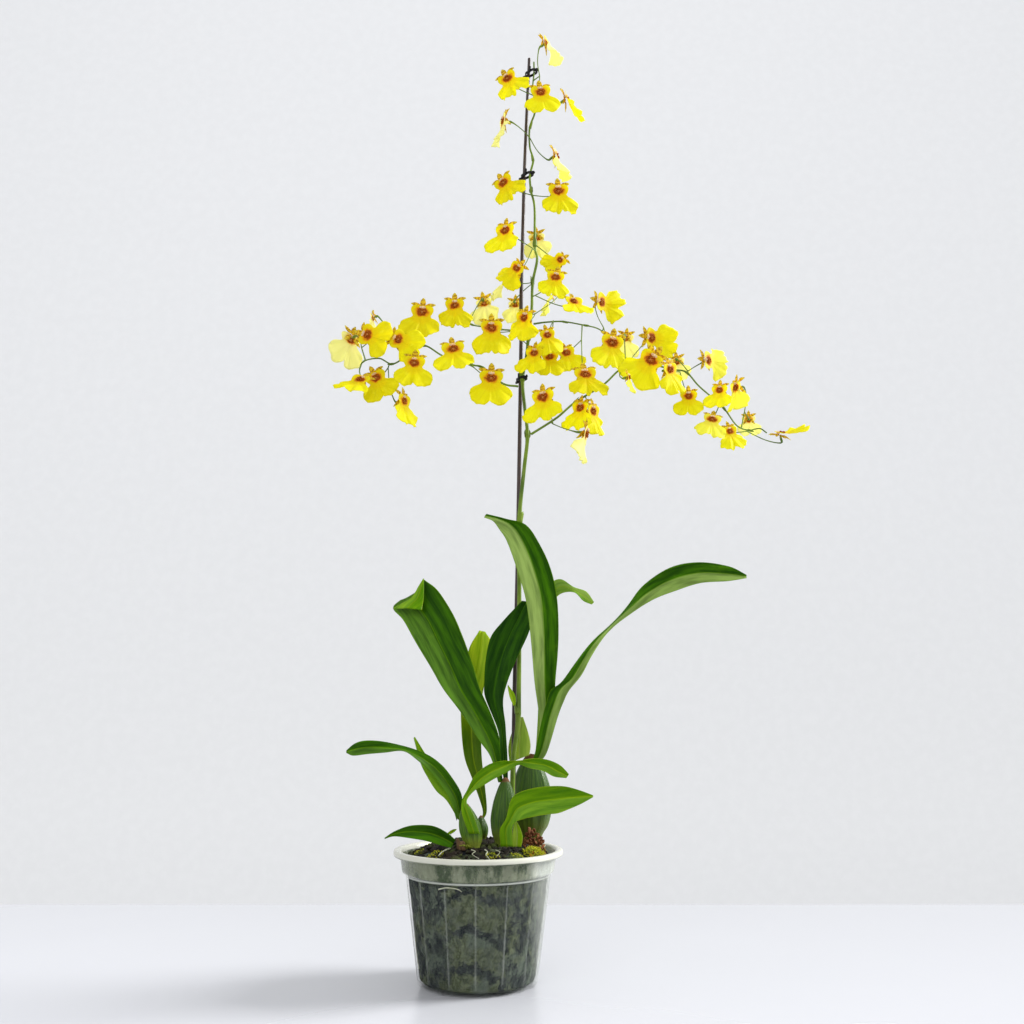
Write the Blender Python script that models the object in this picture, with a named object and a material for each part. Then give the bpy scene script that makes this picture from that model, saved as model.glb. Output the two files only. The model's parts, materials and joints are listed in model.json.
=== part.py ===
"""A dancing-lady orchid in a clear nursery pot, held to a stake by three clips.

The origin is the middle of the pot's flat underside, +Z is up and -Y is the front.
Places in the lists are in millimetres and become metres through MM.
"""

import math

import bmesh
import bpy
import numpy as np
from mathutils import Matrix, Vector, noise

MM = 0.001
GAP = 0.35

# Pot: a thin shell with a rolled lip, a step below it and slim upright ribs.
POT_BASE_RADIUS = 45.8
POT_STEP_RADIUS = 55.9
POT_BAND_RADIUS = 60.3
POT_RIM_RADIUS = 65.3
POT_HEIGHT = 96.5
POT_STEP_HEIGHT = 78.5
POT_WALL = 1.2
RIB_COUNT = 15
RIB_HEIGHT = 0.7
DRAIN_COUNT = 3
DRAIN_FIRST_ANGLE = -33.0

# Potting mix: a low mound that rises a little over the rim in the middle.
MIX_TOP = 103.5
MIX_FALL = 12.5
MIX_RADIUS = 57.2
MIX_BUMP = 1.2

STAKE_RADIUS = 2.0
LEAF_THICKNESS = 0.9
PETAL_THICKNESS = 0.7
PEDICEL_RADIUS = 0.75
NECK_LENGTH = 4.0

STAKE_ROUTE = (
    (26, 12, 18), (27, 12, 139), (28, 12, 209), (30, 12, 291), (31, 11, 341), (34, 10, 517),
    (34, 10, 555), (36, 9, 630), (37, 9, 669), (39, 8, 721), (42, 7, 789),
)

# Stems: route, then the radius at each end.
STEMS = {
    "flower_stem": ((
        (26, 4, 107), (27, 5, 162), (31, 4, 199), (32, 4, 290), (32, 3, 354), (36, 2, 398),
        (39, 0, 427), (37, 2, 451), (35, 4, 478), (38, 3, 496), (40, 2, 514), (43, 2, 540),
        (44, 2, 566), (48, 2, 588), (46, 3, 601), (46, 3, 638), (43, 4, 654), (42, 3, 669),
        (45, 3, 684), (42, 3, 697), (42, 3, 716), (47, 2, 733), (45, 3, 755), (46, 3, 771), (46, 2, 782),
    ), 2.3, 0.9),
    "branch_lower_right": ((
        (42, -3, 428), (63, -10, 440), (78, -14, 452), (102, -16, 467), (118, -14, 482), (138, -10, 488),
        (161, -6, 484), (174, -2, 483), (185, 0, 471), (205, 4, 454), (217, 8, 439), (228, 12, 436),
        (238, 14, 438), (244, 14, 434),
    ), 1.3, 0.7),
    "branch_lower_left": ((
        (31, 0, 471), (18, -8, 471), (2, -16, 482), (-7, -20, 483), (-30, -26, 488), (-46, -30, 496),
        (-58, -33, 488), (-71, -36, 478), (-82, -38, 482), (-94, -40, 479), (-97, -42, 472),
    ), 1.2, 0.7),
    "branch_upper_left": ((
        (37, -2, 518), (25, -6, 519), (17, -8, 519), (3, -11, 520), (-7, -13, 521), (-16, -14, 525),
    ), 1.1, 0.7),
    "branch_upper_right": ((
        (45, 4, 529), (56, 10, 533), (71, 16, 536), (90, 22, 535), (101, 26, 534), (109, 26, 529),
    ), 1.1, 0.7),
}

# Each clip: height on the stake, then its turn about the upright axis.
CLIPS = {"clip_top": (773, -42), "clip_middle": (671, -42), "clip_lower": (480, -62)}
CLIP_LENGTH = 15.0
CLIP_WIDTH = 8.6
CLIP_HEIGHT = 8.0
CLIP_WALL = 1.3

# Pseudobulbs: middle of the foot, height, half width, half depth, lean to +X over the height.
BULBS = {
    "bulb_rear": ((40, 30, 104), 62, 17.5, 11.0, 1.5),
    "bulb_front": ((19, -17, 104), 46, 10.0, 7.5, 2),
    "bulb_small": ((3, -5, 105), 16, 5.0, 4.5, -1),
    "bulb_left": ((-3, -27, 102), 28, 9.5, 5.0, -6),
}

# Leaves: (left margin, right margin) at each station from the foot to the tip.
LEAVES = {
    "leaf_big_left": (
        ((13, -19, 152.5), (17.5, -19, 152.5)), ((9.5, -19, 166), (17, -19, 166)), ((1, -20, 178), (16, -19, 181)),
        ((-14, -20, 200), (10, -18, 198)),
        ((-28, -18, 218), (1, -15, 218)), ((-39, -13, 236), (-5, -10, 237)), ((-53, -7, 258), (-13, -4, 258)),
        ((-62, -2, 273), (-22, 2, 278)), ((-71, 4, 283), (-35, 8, 298)), ((-66, 12, 290), (-47, 14, 308)),
    ),
    "leaf_slim_rear": (
        ((3, -2, 124), (7, -2, 124)), ((-5, 0, 148), (4, 0, 150)), ((-12, 2, 167), (2, 2, 167)),
        ((-15, 6, 198), (1, 6, 200)), ((-14, 9, 217), (3, 9, 218)), ((-11, 12, 235), (7, 12, 237)),
        ((-9, 14, 251), (10, 14, 254)), ((-1, 17, 266), (4, 17, 265)),
    ),
    "leaf_dark": (
        ((20, -14, 151.5), (24, -14, 151.5)), ((16.5, -13, 166), (22.5, -12.5, 166)), ((15, -11, 186), (21, -9, 188)),
        ((5, -8, 211), (19, -7, 208)),
        ((4, -7, 223), (22, -6, 222)), ((5, -6, 241), (29, -6, 240)), ((9, -5, 259), (39, -6, 261)),
        ((19, -5, 272), (42, -6, 274)), ((34, -6, 288), (42, -6, 287)),
    ),
    "leaf_tall": (
        ((46, 29, 168.5), (54, 29, 168.5)), ((48, 21, 194), (60, 20, 202)), ((44, 4, 224), (61, 5, 225)),
        ((41, -12, 256), (63, -10, 256)), ((37, -18, 287), (62, -18, 287)), ((30, -22, 311), (57, -22, 311)),
        ((22, -25, 333), (48, -25, 331)), ((16, -29, 342), (37, -29, 346)), ((11, -33, 348), (21, -33, 350)),
        ((4, -38, 350), (6, -38, 353)),
    ),
    "leaf_right": (
        ((45, 15, 165), (54, 15, 165)), ((50, 11, 194), (62.5, 11, 195)), ((53.5, 7, 207), (67, 7, 207)),
        ((57, 5.5, 217), (72, 5.5, 217)), ((66, 5, 224), (82, 6, 229)),
        ((78, 10, 240), (90, 13, 243)), ((91, 15, 256), (100, 21, 258)), ((109, 20, 272), (111, 29, 270)),
        ((124, 26, 289), (130, 33, 284)), ((138, 32, 306), (147, 34, 294)), ((161, 35, 321), (165, 36, 301)),
        ((186, 38, 326), (187, 38, 308)), ((212, 41, 323), (211, 41, 310)), ((228, 44, 316), (228, 44, 313)),
    ),
    "leaf_behind": (
        ((46, 36, 168), (54, 36, 168)), ((48, 34, 210), (58, 34, 210)), ((49, 28, 251), (58, 28, 251)),
        ((49, 22, 284), (60, 22, 278)), ((57, 16, 303), (61, 16, 290)), ((66, 12, 308), (67, 12, 296)),
        ((77, 9, 301), (77, 6, 296)), ((87, 7, 297), (84, 4, 289)), ((93, 4, 288), (91, 4, 286)),
    ),
    "leaf_front_arch": (
        ((-6, -34, 111), (2, -34, 111)), ((-11.5, -34, 126), (-3.5, -34, 126)), ((-11.5, -31, 135), (-8, -31, 134)),
        ((-8, -28, 142), (-3, -28, 141)), ((-2, -32, 153), (5, -32, 146)),
        ((8, -36, 161), (13, -37, 151)), ((19, -40, 164), (23, -37, 156)), ((30, -45, 164), (31, -37, 161)),
        ((42, -44, 166), (39, -42, 159)), ((53, -45, 165), (49, -45, 157)), ((62, -46, 161), (57, -46, 153)),
        ((68, -48, 155), (66, -48, 152)),
    ),
    "leaf_front_right": (
        ((17.5, -34, 102), (27, -34, 102)), ((17, -34, 114), (26, -34, 113)), ((21.5, -34, 122), (28, -34, 119)),
        ((25.5, -33.5, 136), (34, -34, 121.5)), ((32, -34, 141), (43, -34, 123.5)), ((42.5, -34.5, 144), (51.5, -35, 125)),
        ((54, -36, 145.5), (60, -37, 126)), ((65.5, -38, 145.5), (68, -39, 129)), ((76, -40.5, 143), (77, -41, 133)),
        ((86, -43, 139.5), (86, -43, 138)),
    ),
    "leaf_lower_left": (
        ((-16, -20, 119), (-11, -20, 130)), ((-21, -21, 134), (-13, -21, 140)), ((-28, -23, 145), (-19, -23, 150)),
        ((-35, -26, 154), (-27, -26, 160)), ((-44, -32, 163), (-38, -27, 168)), ((-55, -38, 171), (-54, -29, 174)),
        ((-69, -40, 170), (-70, -37, 178)), ((-82, -42, 169), (-83, -42, 179)), ((-92, -45, 168), (-91, -45, 177)),
        ((-97, -47, 170), (-97, -47, 172)),
    ),
    "leaf_pointed": (
        ((-15, -14, 119), (-8, -14, 122)), ((-24, -14, 133), (-14, -14, 135)), ((-32, -13, 140), (-21, -13, 147)),
        ((-39, -12, 150), (-30, -12, 157)), ((-45, -11, 161), (-39, -11, 165)), ((-51, -9, 180), (-50, -9, 181)),
    ),
    "leaf_low_left": (
        ((-19, -34, 101), (-16, -34, 107)), ((-27, -34, 103), (-24, -34, 113)), ((-38, -34, 106), (-34, -34, 117)),
        ((-51, -33, 108), (-49, -33, 117)), ((-62, -32, 109), (-61, -32, 113)), ((-69, -31, 107), (-69, -31, 108)),
    ),
    "sheath_front": (
        ((26, -28, 101), (33, -28, 101)), ((26, -28.5, 108), (34, -28.5, 108)), ((27, -29, 115), (32, -29, 115)),
        ((28, -30, 120), (29, -30, 120)),
    ),
    "sheath_stem": (
        ((24, 18, 160), (40, 17, 166)), ((23, 17, 172), (41, 17, 174)), ((26, 16, 184), (39, 16, 184)),
        ((33, 15, 196), (35, 15, 196)),
    ),
}
LEAF_FOLD = {"leaf_right": 0.12, "leaf_slim_rear": 0.12, "leaf_behind": 0.12, "sheath_front": 0.2, "sheath_stem": 0.1}
USUAL_FOLD = 0.16
TWISTED_LEAVES = ("leaf_front_arch", "leaf_lower_left", "leaf_right")

# Flowers hang in pairs. First the foot of a shared twig, if there is one, then the fork where the
# two stalks meet, then each flower's throat (x, y, z), turn to the right and tilt up in degrees, swing of the lip, and size.
FLOWERS = {
    "top_flowers_1": (None, (51, -3, 764), ((56, -4, 796, 80, 35, 45, 0.95), (51, -20, 736, 5, 0, 8, 1.0))),
    "top_flowers_2": (None, (45, -1, 746), ((22, -16, 752, -20, 0, 28, 1.0), (74, 0, 742, 75, 20, 25, 1.0))),
    "top_flowers_3": (None, (42, 0, 704), ((20, -6, 717, -75, 5, -10, 1.0), (64, 0, 686, 75, 20, 25, 1.0))),
    "top_flowers_4": (None, (44, 0, 648), ((19, -14, 652, -25, 0, 32, 1.0), (66, -16, 643, 5, 0, 3, 1.05))),
    "top_flowers_5": (None, (44, -1, 597), ((21, -14, 607, -30, 0, -8, 1.0), (31, -18, 570, -20, 0, -50, 0.85))),
    "top_flowers_6": (None, (47, 7, 604), ((48, 24, 621, 175, 0, 5, 0.85), (69, 6, 589, -10, 5, -60, 0.75))),
    "top_flowers_7": (None, (45, 5, 568), ((22, 0, 568, -85, 25, -35, 0.9), (29, 34, 561, 170, 0, 0, 0.75))),
    "top_flowers_8": (None, (46, -1, 553), ((63, -20, 561, -5, 5, -15, 0.9), (79, 2, 548, 20, 25, 5, 0.9))),
    "top_flowers_9": (None, (46, 1, 537), ((37, -32, 520, -30, 0, -18, 0.9), (62, 22, 566, -88, 10, -27, 0.95))),
    "upper_left_flowers_1": (
        None, (-10, -11, 525), ((-22, -22, 535, -3, 0, 0, 0.95), (1, 12, 553, 170, 0, 10, 0.85))),
    "upper_left_flowers_2": (
        None, (27, -9, 517), ((9, -24, 514, 0, 0, 0, 1.1), (45, -24, 492, -25, 0, -12, 0.85))),
    "lower_left_flowers_1": (
        (-95, -37, 482), (-97, -36, 492), ((-107, -24, 505, -120, 0, -20, 0.85), (-91, -48, 498, -10, 0, 45, 1.0))),
    "lower_left_flowers_2": (
        None, (-65, -32, 488), ((-90, -20, 525, -100, 0, 0, 0.6), (-48, -34, 524, 0, 0, -5, 1.05))),
    "lower_left_flowers_3": (
        None, (-60, -36, 486), ((-67, -46, 495, 10, 0, 50, 0.95), (-52, -50, 474, 0, 0, -5, 0.95))),
    "lower_left_flowers_4": (
        None, (-75, -35, 475), ((-85, -34, 467, 0, 0, 27, 0.95), (-63, -36, 447, 45, 0, 15, 0.85))),
    "lower_left_flowers_5": (None, (-97, -43, 469), ((-94, -52, 458, -10, 40, -20, 0.95),)),
    "lower_left_flowers_6": (
        None, (-6, -23, 480), ((-22, -40, 489, 0, 15, 8, 1.05), (9, -28, 469, 0, 0, -2, 1.1))),
    "upper_right_flowers_1": (
        None, (62, 9, 534), ((55, -26, 507, 10, 0, 15, 0.8), (58, -10, 494, 0, 0, 0, 0.8))),
    "upper_right_flowers_2": (
        (88, 19, 533), (86, 6, 515), ((72, 2, 502, 10, 5, 20, 0.85), (86, -26, 472, 5, 20, 5, 1.1))),
    "upper_right_flowers_3": (
        None, (107, 23, 533), ((112, 4, 512, 15, 0, -25, 1.15), (103, 14, 553, 150, 0, 80, 0.95))),
    "lower_right_flowers_1": (
        None, (60, -13, 434), ((52, -26, 453, -20, 5, 5, 1.05), (83, -46, 417, 80, -10, 8, 1.05))),
    "lower_right_flowers_2": (
        None, (89, -8, 456), ((94, 8, 452, 50, 0, 10, 0.95), (83, -24, 445, -40, 0, -12, 0.9))),
    "lower_right_flowers_3": (
        None, (117, -17, 479), ((142, -24, 486, -15, 0, -42, 1.2), (119, -44, 464, 70, 10, 30, 0.6))),
    "lower_right_flowers_4": (
        None, (122, -10, 486), ((127, 30, 527, 165, 0, -10, 0.8), (146, 12, 519, 20, 0, 85, 1.0))),
    "lower_right_flowers_5": (
        None, (168, -6, 482), ((154, -32, 475, 40, 0, 24, 0.95), (173, -14, 458, -5, 0, 0, 0.8))),
    "lower_right_flowers_6": (
        None, (176, 1, 485), ((169, 14, 499, 170, 0, 5, 0.75), (192, 0, 494, 30, 0, 90, 0.9))),
    "lower_right_flowers_7": (
        None, (203, 1, 458), ((200, -12, 464, -30, 0, -8, 0.75), (193, -8, 439, 0, 20, -15, 0.85))),
    "lower_right_flowers_8": (
        (222, 12, 441), (225, 11, 452), ((220, 10, 474, -70, 0, -20, 0.95), (232, 26, 450, 170, 20, 0, 0.65))),
    "lower_right_flowers_9": (
        None, (226, 9, 434), ((207, -6, 430, 20, 0, 15, 0.75), (256, 14, 432, 0, 70, 95, 0.95))),
}

# Half of a flower's outline from the top sepal to the lip's hem: half width,
# height at the edge and in the middle, forward set.
FLOWER_ROWS = (
    (2.4, 8.0, 8.0, 0.2), (2.6, 5.2, 5.0, 0.0), (9.5, 7.4, 3.4, 0.4), (5.0, 1.0, 1.0, 0.6),
    (2.8, -4.0, -4.0, 1.6), (13.0, -7.5, -8.0, 3.0), (15.5, -12.5, -12.0, 3.8),
    (13.0, -18.5, -16.0, 4.2), (6.0, -22.5, -18.5, 4.6),
)
FLOWER_CROWN = 0.6
FLOWER_TOP = (11.5, 0.6)
FLOWER_HEM = (-20.0, 4.8)
STALK_ROW = 3

COLOURS = {
    "pot": (0.55, 0.58, 0.52), "mix": (0.05, 0.035, 0.02), "moss": (0.3, 0.36, 0.06), "bark": (0.2, 0.07, 0.03),
    "stake": (0.06, 0.035, 0.03), "clip": (0.02, 0.02, 0.02), "stem": (0.16, 0.24, 0.05),
    "bulb": (0.12, 0.24, 0.03), "leaf": (0.06, 0.19, 0.02), "flower": (0.9, 0.68, 0.03),
}


def clear_scene():
    for old in list(bpy.data.objects):
        bpy.data.objects.remove(old, do_unlink=True)


def finish(node, look, roughness=0.5, metallic=0.0):
    """Gives the object its own material."""
    material = bpy.data.materials.new(node.name + "_material")
    material.use_nodes = True
    shader = material.node_tree.nodes["Principled BSDF"]
    shader.inputs["Base Color"].default_value = (*COLOURS[look], 1)
    shader.inputs["Roughness"].default_value = roughness
    shader.inputs["Metallic"].default_value = metallic
    node.data.materials.append(material)


def add_mesh(name, form, look, smooth_angle=None):
    """Turns a bmesh whose points are in millimetres into an object in metres."""
    bmesh.ops.recalc_face_normals(form, faces=form.faces)
    bmesh.ops.scale(form, vec=(MM, MM, MM), verts=form.verts)
    mesh = bpy.data.meshes.new(name)
    form.to_mesh(mesh)
    form.free()
    if smooth_angle:
        mesh.shade_smooth()
        mesh.set_sharp_from_angle(angle=math.radians(smooth_angle))
    node = bpy.data.objects.new(name, mesh)
    bpy.context.scene.collection.objects.link(node)
    finish(node, look)
    return node


def smooth_line(points, steps):
    """Points on a smooth curve through the given ones, with steps in each span."""
    given = [Vector(point) for point in points]
    padded = [2 * given[0] - given[1], *given, 2 * given[-1] - given[-2]]
    line = []
    for before, start, end, after in zip(padded, padded[1:], padded[2:], padded[3:]):
        for step in range(steps):
            t = step / steps
            line.append(0.5 * (
                2 * start + (end - before) * t + (2 * before - 5 * start + 4 * end - after) * t**2
                + (3 * start - before - 3 * end + after) * t**3
            ))
    return [*line, given[-1]]


def join_rings(form, rings):
    """Bridges each ring of points to the next, all the way round."""
    for lower, upper in zip(rings, rings[1:]):
        for index in range(len(lower)):
            following = (index + 1) % len(lower)
            form.faces.new((lower[index], lower[following], upper[following], upper[index]))


def turned(form, angles, profile):
    """Rings about the upright axis; profile gives the (radius, height) functions of the angle."""
    rings = []
    for place in profile:
        ring = []
        for angle in angles:
            radius, height = place(angle)
            ring.append(form.verts.new((radius * math.cos(angle), radius * math.sin(angle), height)))
        rings.append(ring)
    join_rings(form, rings)
    return rings


def cap(form, ring, centre):
    middle = form.verts.new(centre)
    for index, corner in enumerate(ring):
        form.faces.new((middle, corner, ring[(index + 1) % len(ring)]))


def mix_height(x, y):
    """The mix's surface: a mound with small bumps."""
    far = math.hypot(x, y) / MIX_RADIUS
    bump = noise.noise(Vector((x, y, 0)) / 9.0)
    return MIX_TOP - MIX_FALL * far**2 + MIX_BUMP * bump * (1 - far**4)


def make_pot():
    """The shell, with ribs raised between the foot and the step, and notches cut for drainage."""
    inside = POT_WALL
    profile = (
        (POT_BASE_RADIUS - 2.0, 0, False), (POT_BASE_RADIUS - 0.4, 1.4, False), (POT_BASE_RADIUS, 4, True),
        (POT_STEP_RADIUS, POT_STEP_HEIGHT, True), (POT_STEP_RADIUS + 2.4, POT_STEP_HEIGHT + 1.8, False),
        (POT_BAND_RADIUS, POT_HEIGHT - 4.8, False), (POT_RIM_RADIUS - 0.8, POT_HEIGHT - 4.4, False),
        (POT_RIM_RADIUS, POT_HEIGHT - 3.2, False), (POT_RIM_RADIUS, POT_HEIGHT - 1.0, False),
        (POT_RIM_RADIUS - 0.9, POT_HEIGHT, False), (POT_BAND_RADIUS + 0.4, POT_HEIGHT, False),
        (POT_BAND_RADIUS - inside, POT_HEIGHT - 1.6, False),
        (POT_STEP_RADIUS + 2.4 - inside, POT_STEP_HEIGHT + 2.4, False),
        (POT_STEP_RADIUS - inside, POT_STEP_HEIGHT + 0.6, False), (POT_BASE_RADIUS - inside, 4.2, False),
        (POT_BASE_RADIUS - 2.8, 2.2, False),
    )
    pitch = 360.0 / RIB_COUNT
    rib_edges = (-1.3, -0.7, 0.7, 1.3, pitch / 2)
    angles = []
    raised = []
    for rib in range(RIB_COUNT):
        for edge in rib_edges:
            angles.append(math.radians(rib * pitch + edge - 90))
            raised.append(abs(edge) < 1)
    form = bmesh.new()
    rings = []
    for radius, height, ribbed in profile:
        ring = []
        for angle, crest in zip(angles, raised):
            reach = radius + (RIB_HEIGHT if ribbed and crest else 0)
            ring.append(form.verts.new((reach * math.cos(angle), reach * math.sin(angle), height)))
        rings.append(ring)
    join_rings(form, rings)
    cap(form, rings[0], (0, 0, 0))
    cap(form, rings[-1], (0, 0, 2.2))
    pot = add_mesh("pot", form, "pot", 35)
    for index in range(DRAIN_COUNT):
        cut_drain(pot, index)
    return pot


def cut_drain(pot, index):
    """A slot through the pot's lower corner."""
    angle = math.radians(DRAIN_FIRST_ANGLE + index * 360 / DRAIN_COUNT)
    form = bmesh.new()
    bmesh.ops.create_cube(form, size=1, matrix=Matrix.Diagonal((9, 11, 7.2, 1)))
    bmesh.ops.translate(form, vec=(POT_BASE_RADIUS + 0.6, 0, 1.2), verts=form.verts)
    bmesh.ops.rotate(form, matrix=Matrix.Rotation(angle, 3, "Z"), verts=form.verts)
    cutter = add_mesh(f"drain_cutter_{index + 1}", form, "pot")
    cutter.hide_render = True
    cutter.display_type = "WIRE"
    cut = pot.modifiers.new(f"drain_{index + 1}", "BOOLEAN")
    cut.object = cutter
    cut.operation = "DIFFERENCE"


def make_mix():
    """The packed mix, with a hole where the stake stands in it."""
    wall = POT_WALL + 0.75
    foot = POT_BASE_RADIUS - wall
    shoulder = POT_STEP_RADIUS - wall
    edge = MIX_RADIUS
    angles = [2 * math.pi * step / 40 for step in range(40)]
    profile = [
        lambda a: (foot - 6, 2.6), lambda a: (foot - 5, 4.6), lambda a: (foot, 12),
        lambda a: (shoulder, POT_STEP_HEIGHT), lambda a: (edge - 1.5, POT_STEP_HEIGHT + 4),
    ]
    for share in (1.0, 0.82, 0.62, 0.42, 0.2):
        profile.append(lambda a, r=edge * share: (r, mix_height(r * math.cos(a), r * math.sin(a))))
    form = bmesh.new()
    rings = turned(form, angles, profile)
    cap(form, rings[0], (0, 0, 2.6))
    cap(form, rings[-1], (0, 0, mix_height(0, 0)))
    mix = add_mesh("potting_mix", form, "mix", 40)
    hole = make_rod("stake_hole", Vector((25.97, 12, 14)), Vector((26.8, 12, 114)), STAKE_RADIUS + GAP)
    hole.hide_render = True
    hole.display_type = "WIRE"
    cut = mix.modifiers.new("stake_hole", "BOOLEAN")
    cut.object = hole
    cut.operation = "DIFFERENCE"


def make_rod(name, foot, top, radius):
    """A straight round rod between two points, as a mesh."""
    form = bmesh.new()
    along = top - foot
    turn = along.to_track_quat("Z", "Y").to_matrix().to_4x4()
    place = Matrix.Translation((foot + top) / 2) @ turn
    bmesh.ops.create_cone(
        form, cap_ends=True, segments=12, radius1=radius, radius2=radius, depth=along.length, matrix=place)
    return add_mesh(name, form, "mix")


def make_tube(name, points, radii, look, sides_level):
    """A closed round tube through the points, as a bevelled curve."""
    curve = bpy.data.curves.new(name, "CURVE")
    curve.dimensions = "3D"
    curve.bevel_depth = MM
    curve.bevel_resolution = sides_level
    curve.use_fill_caps = True
    spline = curve.splines.new("POLY")
    spline.points.add(len(points) - 1)
    for knot, point, radius in zip(spline.points, points, radii):
        knot.co = (*(Vector(point) * MM), 1)
        knot.radius = radius
    node = bpy.data.objects.new(name, curve)
    bpy.context.scene.collection.objects.link(node)
    finish(node, look)
    return node


def make_stems():
    for name, (route, foot_radius, end_radius) in STEMS.items():
        line = smooth_line(route, 2)
        radii = np.linspace(foot_radius, end_radius, len(line))
        make_tube(name, line, radii, "stem", 1)


def make_stake():
    line = smooth_line(STAKE_ROUTE, 2)
    make_tube("stake", line, [STAKE_RADIUS] * len(line), "stake", 2)


def height_on(route, height):
    """The point of a rising route at the given height."""
    for lower, upper in zip(route, route[1:]):
        if lower[2] <= height <= upper[2]:
            share = (height - lower[2]) / (upper[2] - lower[2])
            return Vector(lower).lerp(Vector(upper), share)
    return Vector(route[-1])


def make_clip(name, height, turn):
    """An oval band round the stake and the stem."""
    stake = height_on(STAKE_ROUTE, height)
    stem = height_on(STEMS["flower_stem"][0], height)
    centre = (stake + stem) / 2
    form = bmesh.new()
    rings = []
    for inset, side in ((0, -1), (0, 1), (CLIP_WALL, 1), (CLIP_WALL, -1)):
        straight = (CLIP_LENGTH - CLIP_WIDTH) / 2
        radius = CLIP_WIDTH / 2 - inset
        ring = []
        for step in range(16):
            angle = 2 * math.pi * (step + 0.5) / 16
            x = math.copysign(straight, math.cos(angle)) + radius * math.cos(angle)
            corner = Vector((x, radius * math.sin(angle), side * CLIP_HEIGHT / 2))
            ring.append(form.verts.new(corner))
        rings.append(ring)
    join_rings(form, [*rings, rings[0]])
    bmesh.ops.rotate(form, matrix=Matrix.Rotation(math.radians(turn), 3, "Z"), verts=form.verts)
    bmesh.ops.translate(form, vec=centre, verts=form.verts)
    add_mesh(name, form, "clip", 40)


def make_bulb(name, foot, height, half_width, half_depth, lean):
    """A flattened, pointed egg that stands on the mix."""
    shape = ((0.0, 0.62), (0.12, 0.86), (0.34, 1.0), (0.58, 0.9), (0.78, 0.66), (0.92, 0.4), (1.0, 0.18))
    form = bmesh.new()
    rings = []
    for share, breadth in shape:
        ring = []
        for step in range(14):
            angle = 2 * math.pi * step / 14
            flute = 1 + 0.04 * math.cos(7 * angle)
            ring.append(form.verts.new((
                foot[0] + lean * share + half_width * breadth * flute * math.cos(angle),
                foot[1] + half_depth * breadth * flute * math.sin(angle),
                foot[2] + height * share,
            )))
        rings.append(ring)
    join_rings(form, rings)
    form.faces.new(reversed(rings[0]))
    form.faces.new(rings[-1])
    add_mesh(name, form, "bulb", 50)


def make_leaf(name, stations, fold):
    """A strap with a keeled middle, lofted between its two margins."""
    steps = 4 if name in TWISTED_LEAVES else 2
    left_line = smooth_line([left for left, right in stations], steps)
    right_line = smooth_line([right for left, right in stations], steps)
    middles = [(left + right) / 2 for left, right in zip(left_line, right_line)]
    form = bmesh.new()
    rings = []
    for index, (left, right, middle) in enumerate(zip(left_line, right_line, middles)):
        before = middles[max(index - 1, 0)]
        after = middles[min(index + 1, len(middles) - 1)]
        across = right - left
        face = across.cross(after - before).normalized()
        keel = middle - face * fold * across.length
        edge_lift = face * LEAF_THICKNESS * 0.3
        mid_lift = face * LEAF_THICKNESS * 0.5
        corners = (
            left + edge_lift, keel + mid_lift, right + edge_lift,
            right - edge_lift, keel - mid_lift, left - edge_lift,
        )
        rings.append([form.verts.new(corner) for corner in corners])
    join_rings(form, rings)
    form.faces.new(reversed(rings[0]))
    form.faces.new(rings[-1])
    add_mesh(name, form, "leaf", 50)


def flower_axes(turn, tilt, swing):
    """Right, forward and up of a flower as the columns of a matrix."""
    turn, tilt, swing = math.radians(turn), math.radians(tilt), math.radians(swing)
    forward = Vector((math.sin(turn) * math.cos(tilt), -math.cos(turn) * math.cos(tilt), math.sin(tilt)))
    up = Vector((-math.sin(swing), 0, math.cos(swing)))
    up = (up - forward * up.dot(forward)).normalized()
    return Matrix((forward.cross(up), forward, up)).transposed()


def add_flower(form, flower):
    """One flower as a thin curved plate. Returns the ring that its stalk leaves from."""
    throat = Vector(flower[:3])
    axes = flower_axes(*flower[3:6])
    size = flower[6]

    def place(x, z, forward):
        return form.verts.new(throat + axes @ Vector((x, forward, z)) * size)

    sides = []
    for offset in (PETAL_THICKNESS, 0):
        top = place(0, FLOWER_TOP[0], FLOWER_TOP[1] + offset)
        hem = place(0, FLOWER_HEM[0], FLOWER_HEM[1] + offset)
        rows = []
        for half, edge_height, middle_height, forward in FLOWER_ROWS:
            rows.append((
                place(-half, edge_height, forward + offset),
                place(0, middle_height, forward + FLOWER_CROWN + offset),
                place(half, edge_height, forward + offset),
            ))
        sides.append((top, rows, hem))
    (front_top, front_rows, front_hem), (back_top, back_rows, back_hem) = sides
    for top, rows, hem in sides:
        form.faces.new((top, rows[0][0], rows[0][1]))
        form.faces.new((top, rows[0][1], rows[0][2]))
        form.faces.new((hem, rows[-1][1], rows[-1][0]))
        form.faces.new((hem, rows[-1][2], rows[-1][1]))
        for index, (upper, lower) in enumerate(zip(rows, rows[1:])):
            if rows is back_rows and index == STALK_ROW:
                continue
            form.faces.new((upper[0], lower[0], lower[1], upper[1]))
            form.faces.new((upper[1], lower[1], lower[2], upper[2]))
    for side in (0, 2):
        front_edge = [front_top, *(row[side] for row in front_rows), front_hem]
        back_edge = [back_top, *(row[side] for row in back_rows), back_hem]
        for index in range(len(front_edge) - 1):
            form.faces.new((front_edge[index], back_edge[index], back_edge[index + 1], front_edge[index + 1]))
    upper, lower = back_rows[STALK_ROW], back_rows[STALK_ROW + 1]
    return [upper[0], upper[1], upper[2], lower[2], lower[1], lower[0]], axes.col[1]


def next_ring(form, ring, centre, direction, radius):
    """Carries a ring of points along a stalk without twisting it."""
    old_centre = sum((corner.co for corner in ring), Vector()) / len(ring)
    following = []
    for corner in ring:
        spoke = corner.co - old_centre
        spoke -= direction * spoke.dot(direction)
        following.append(form.verts.new(centre + spoke.normalized() * radius))
    join_rings(form, [ring, following])
    return following


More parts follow.
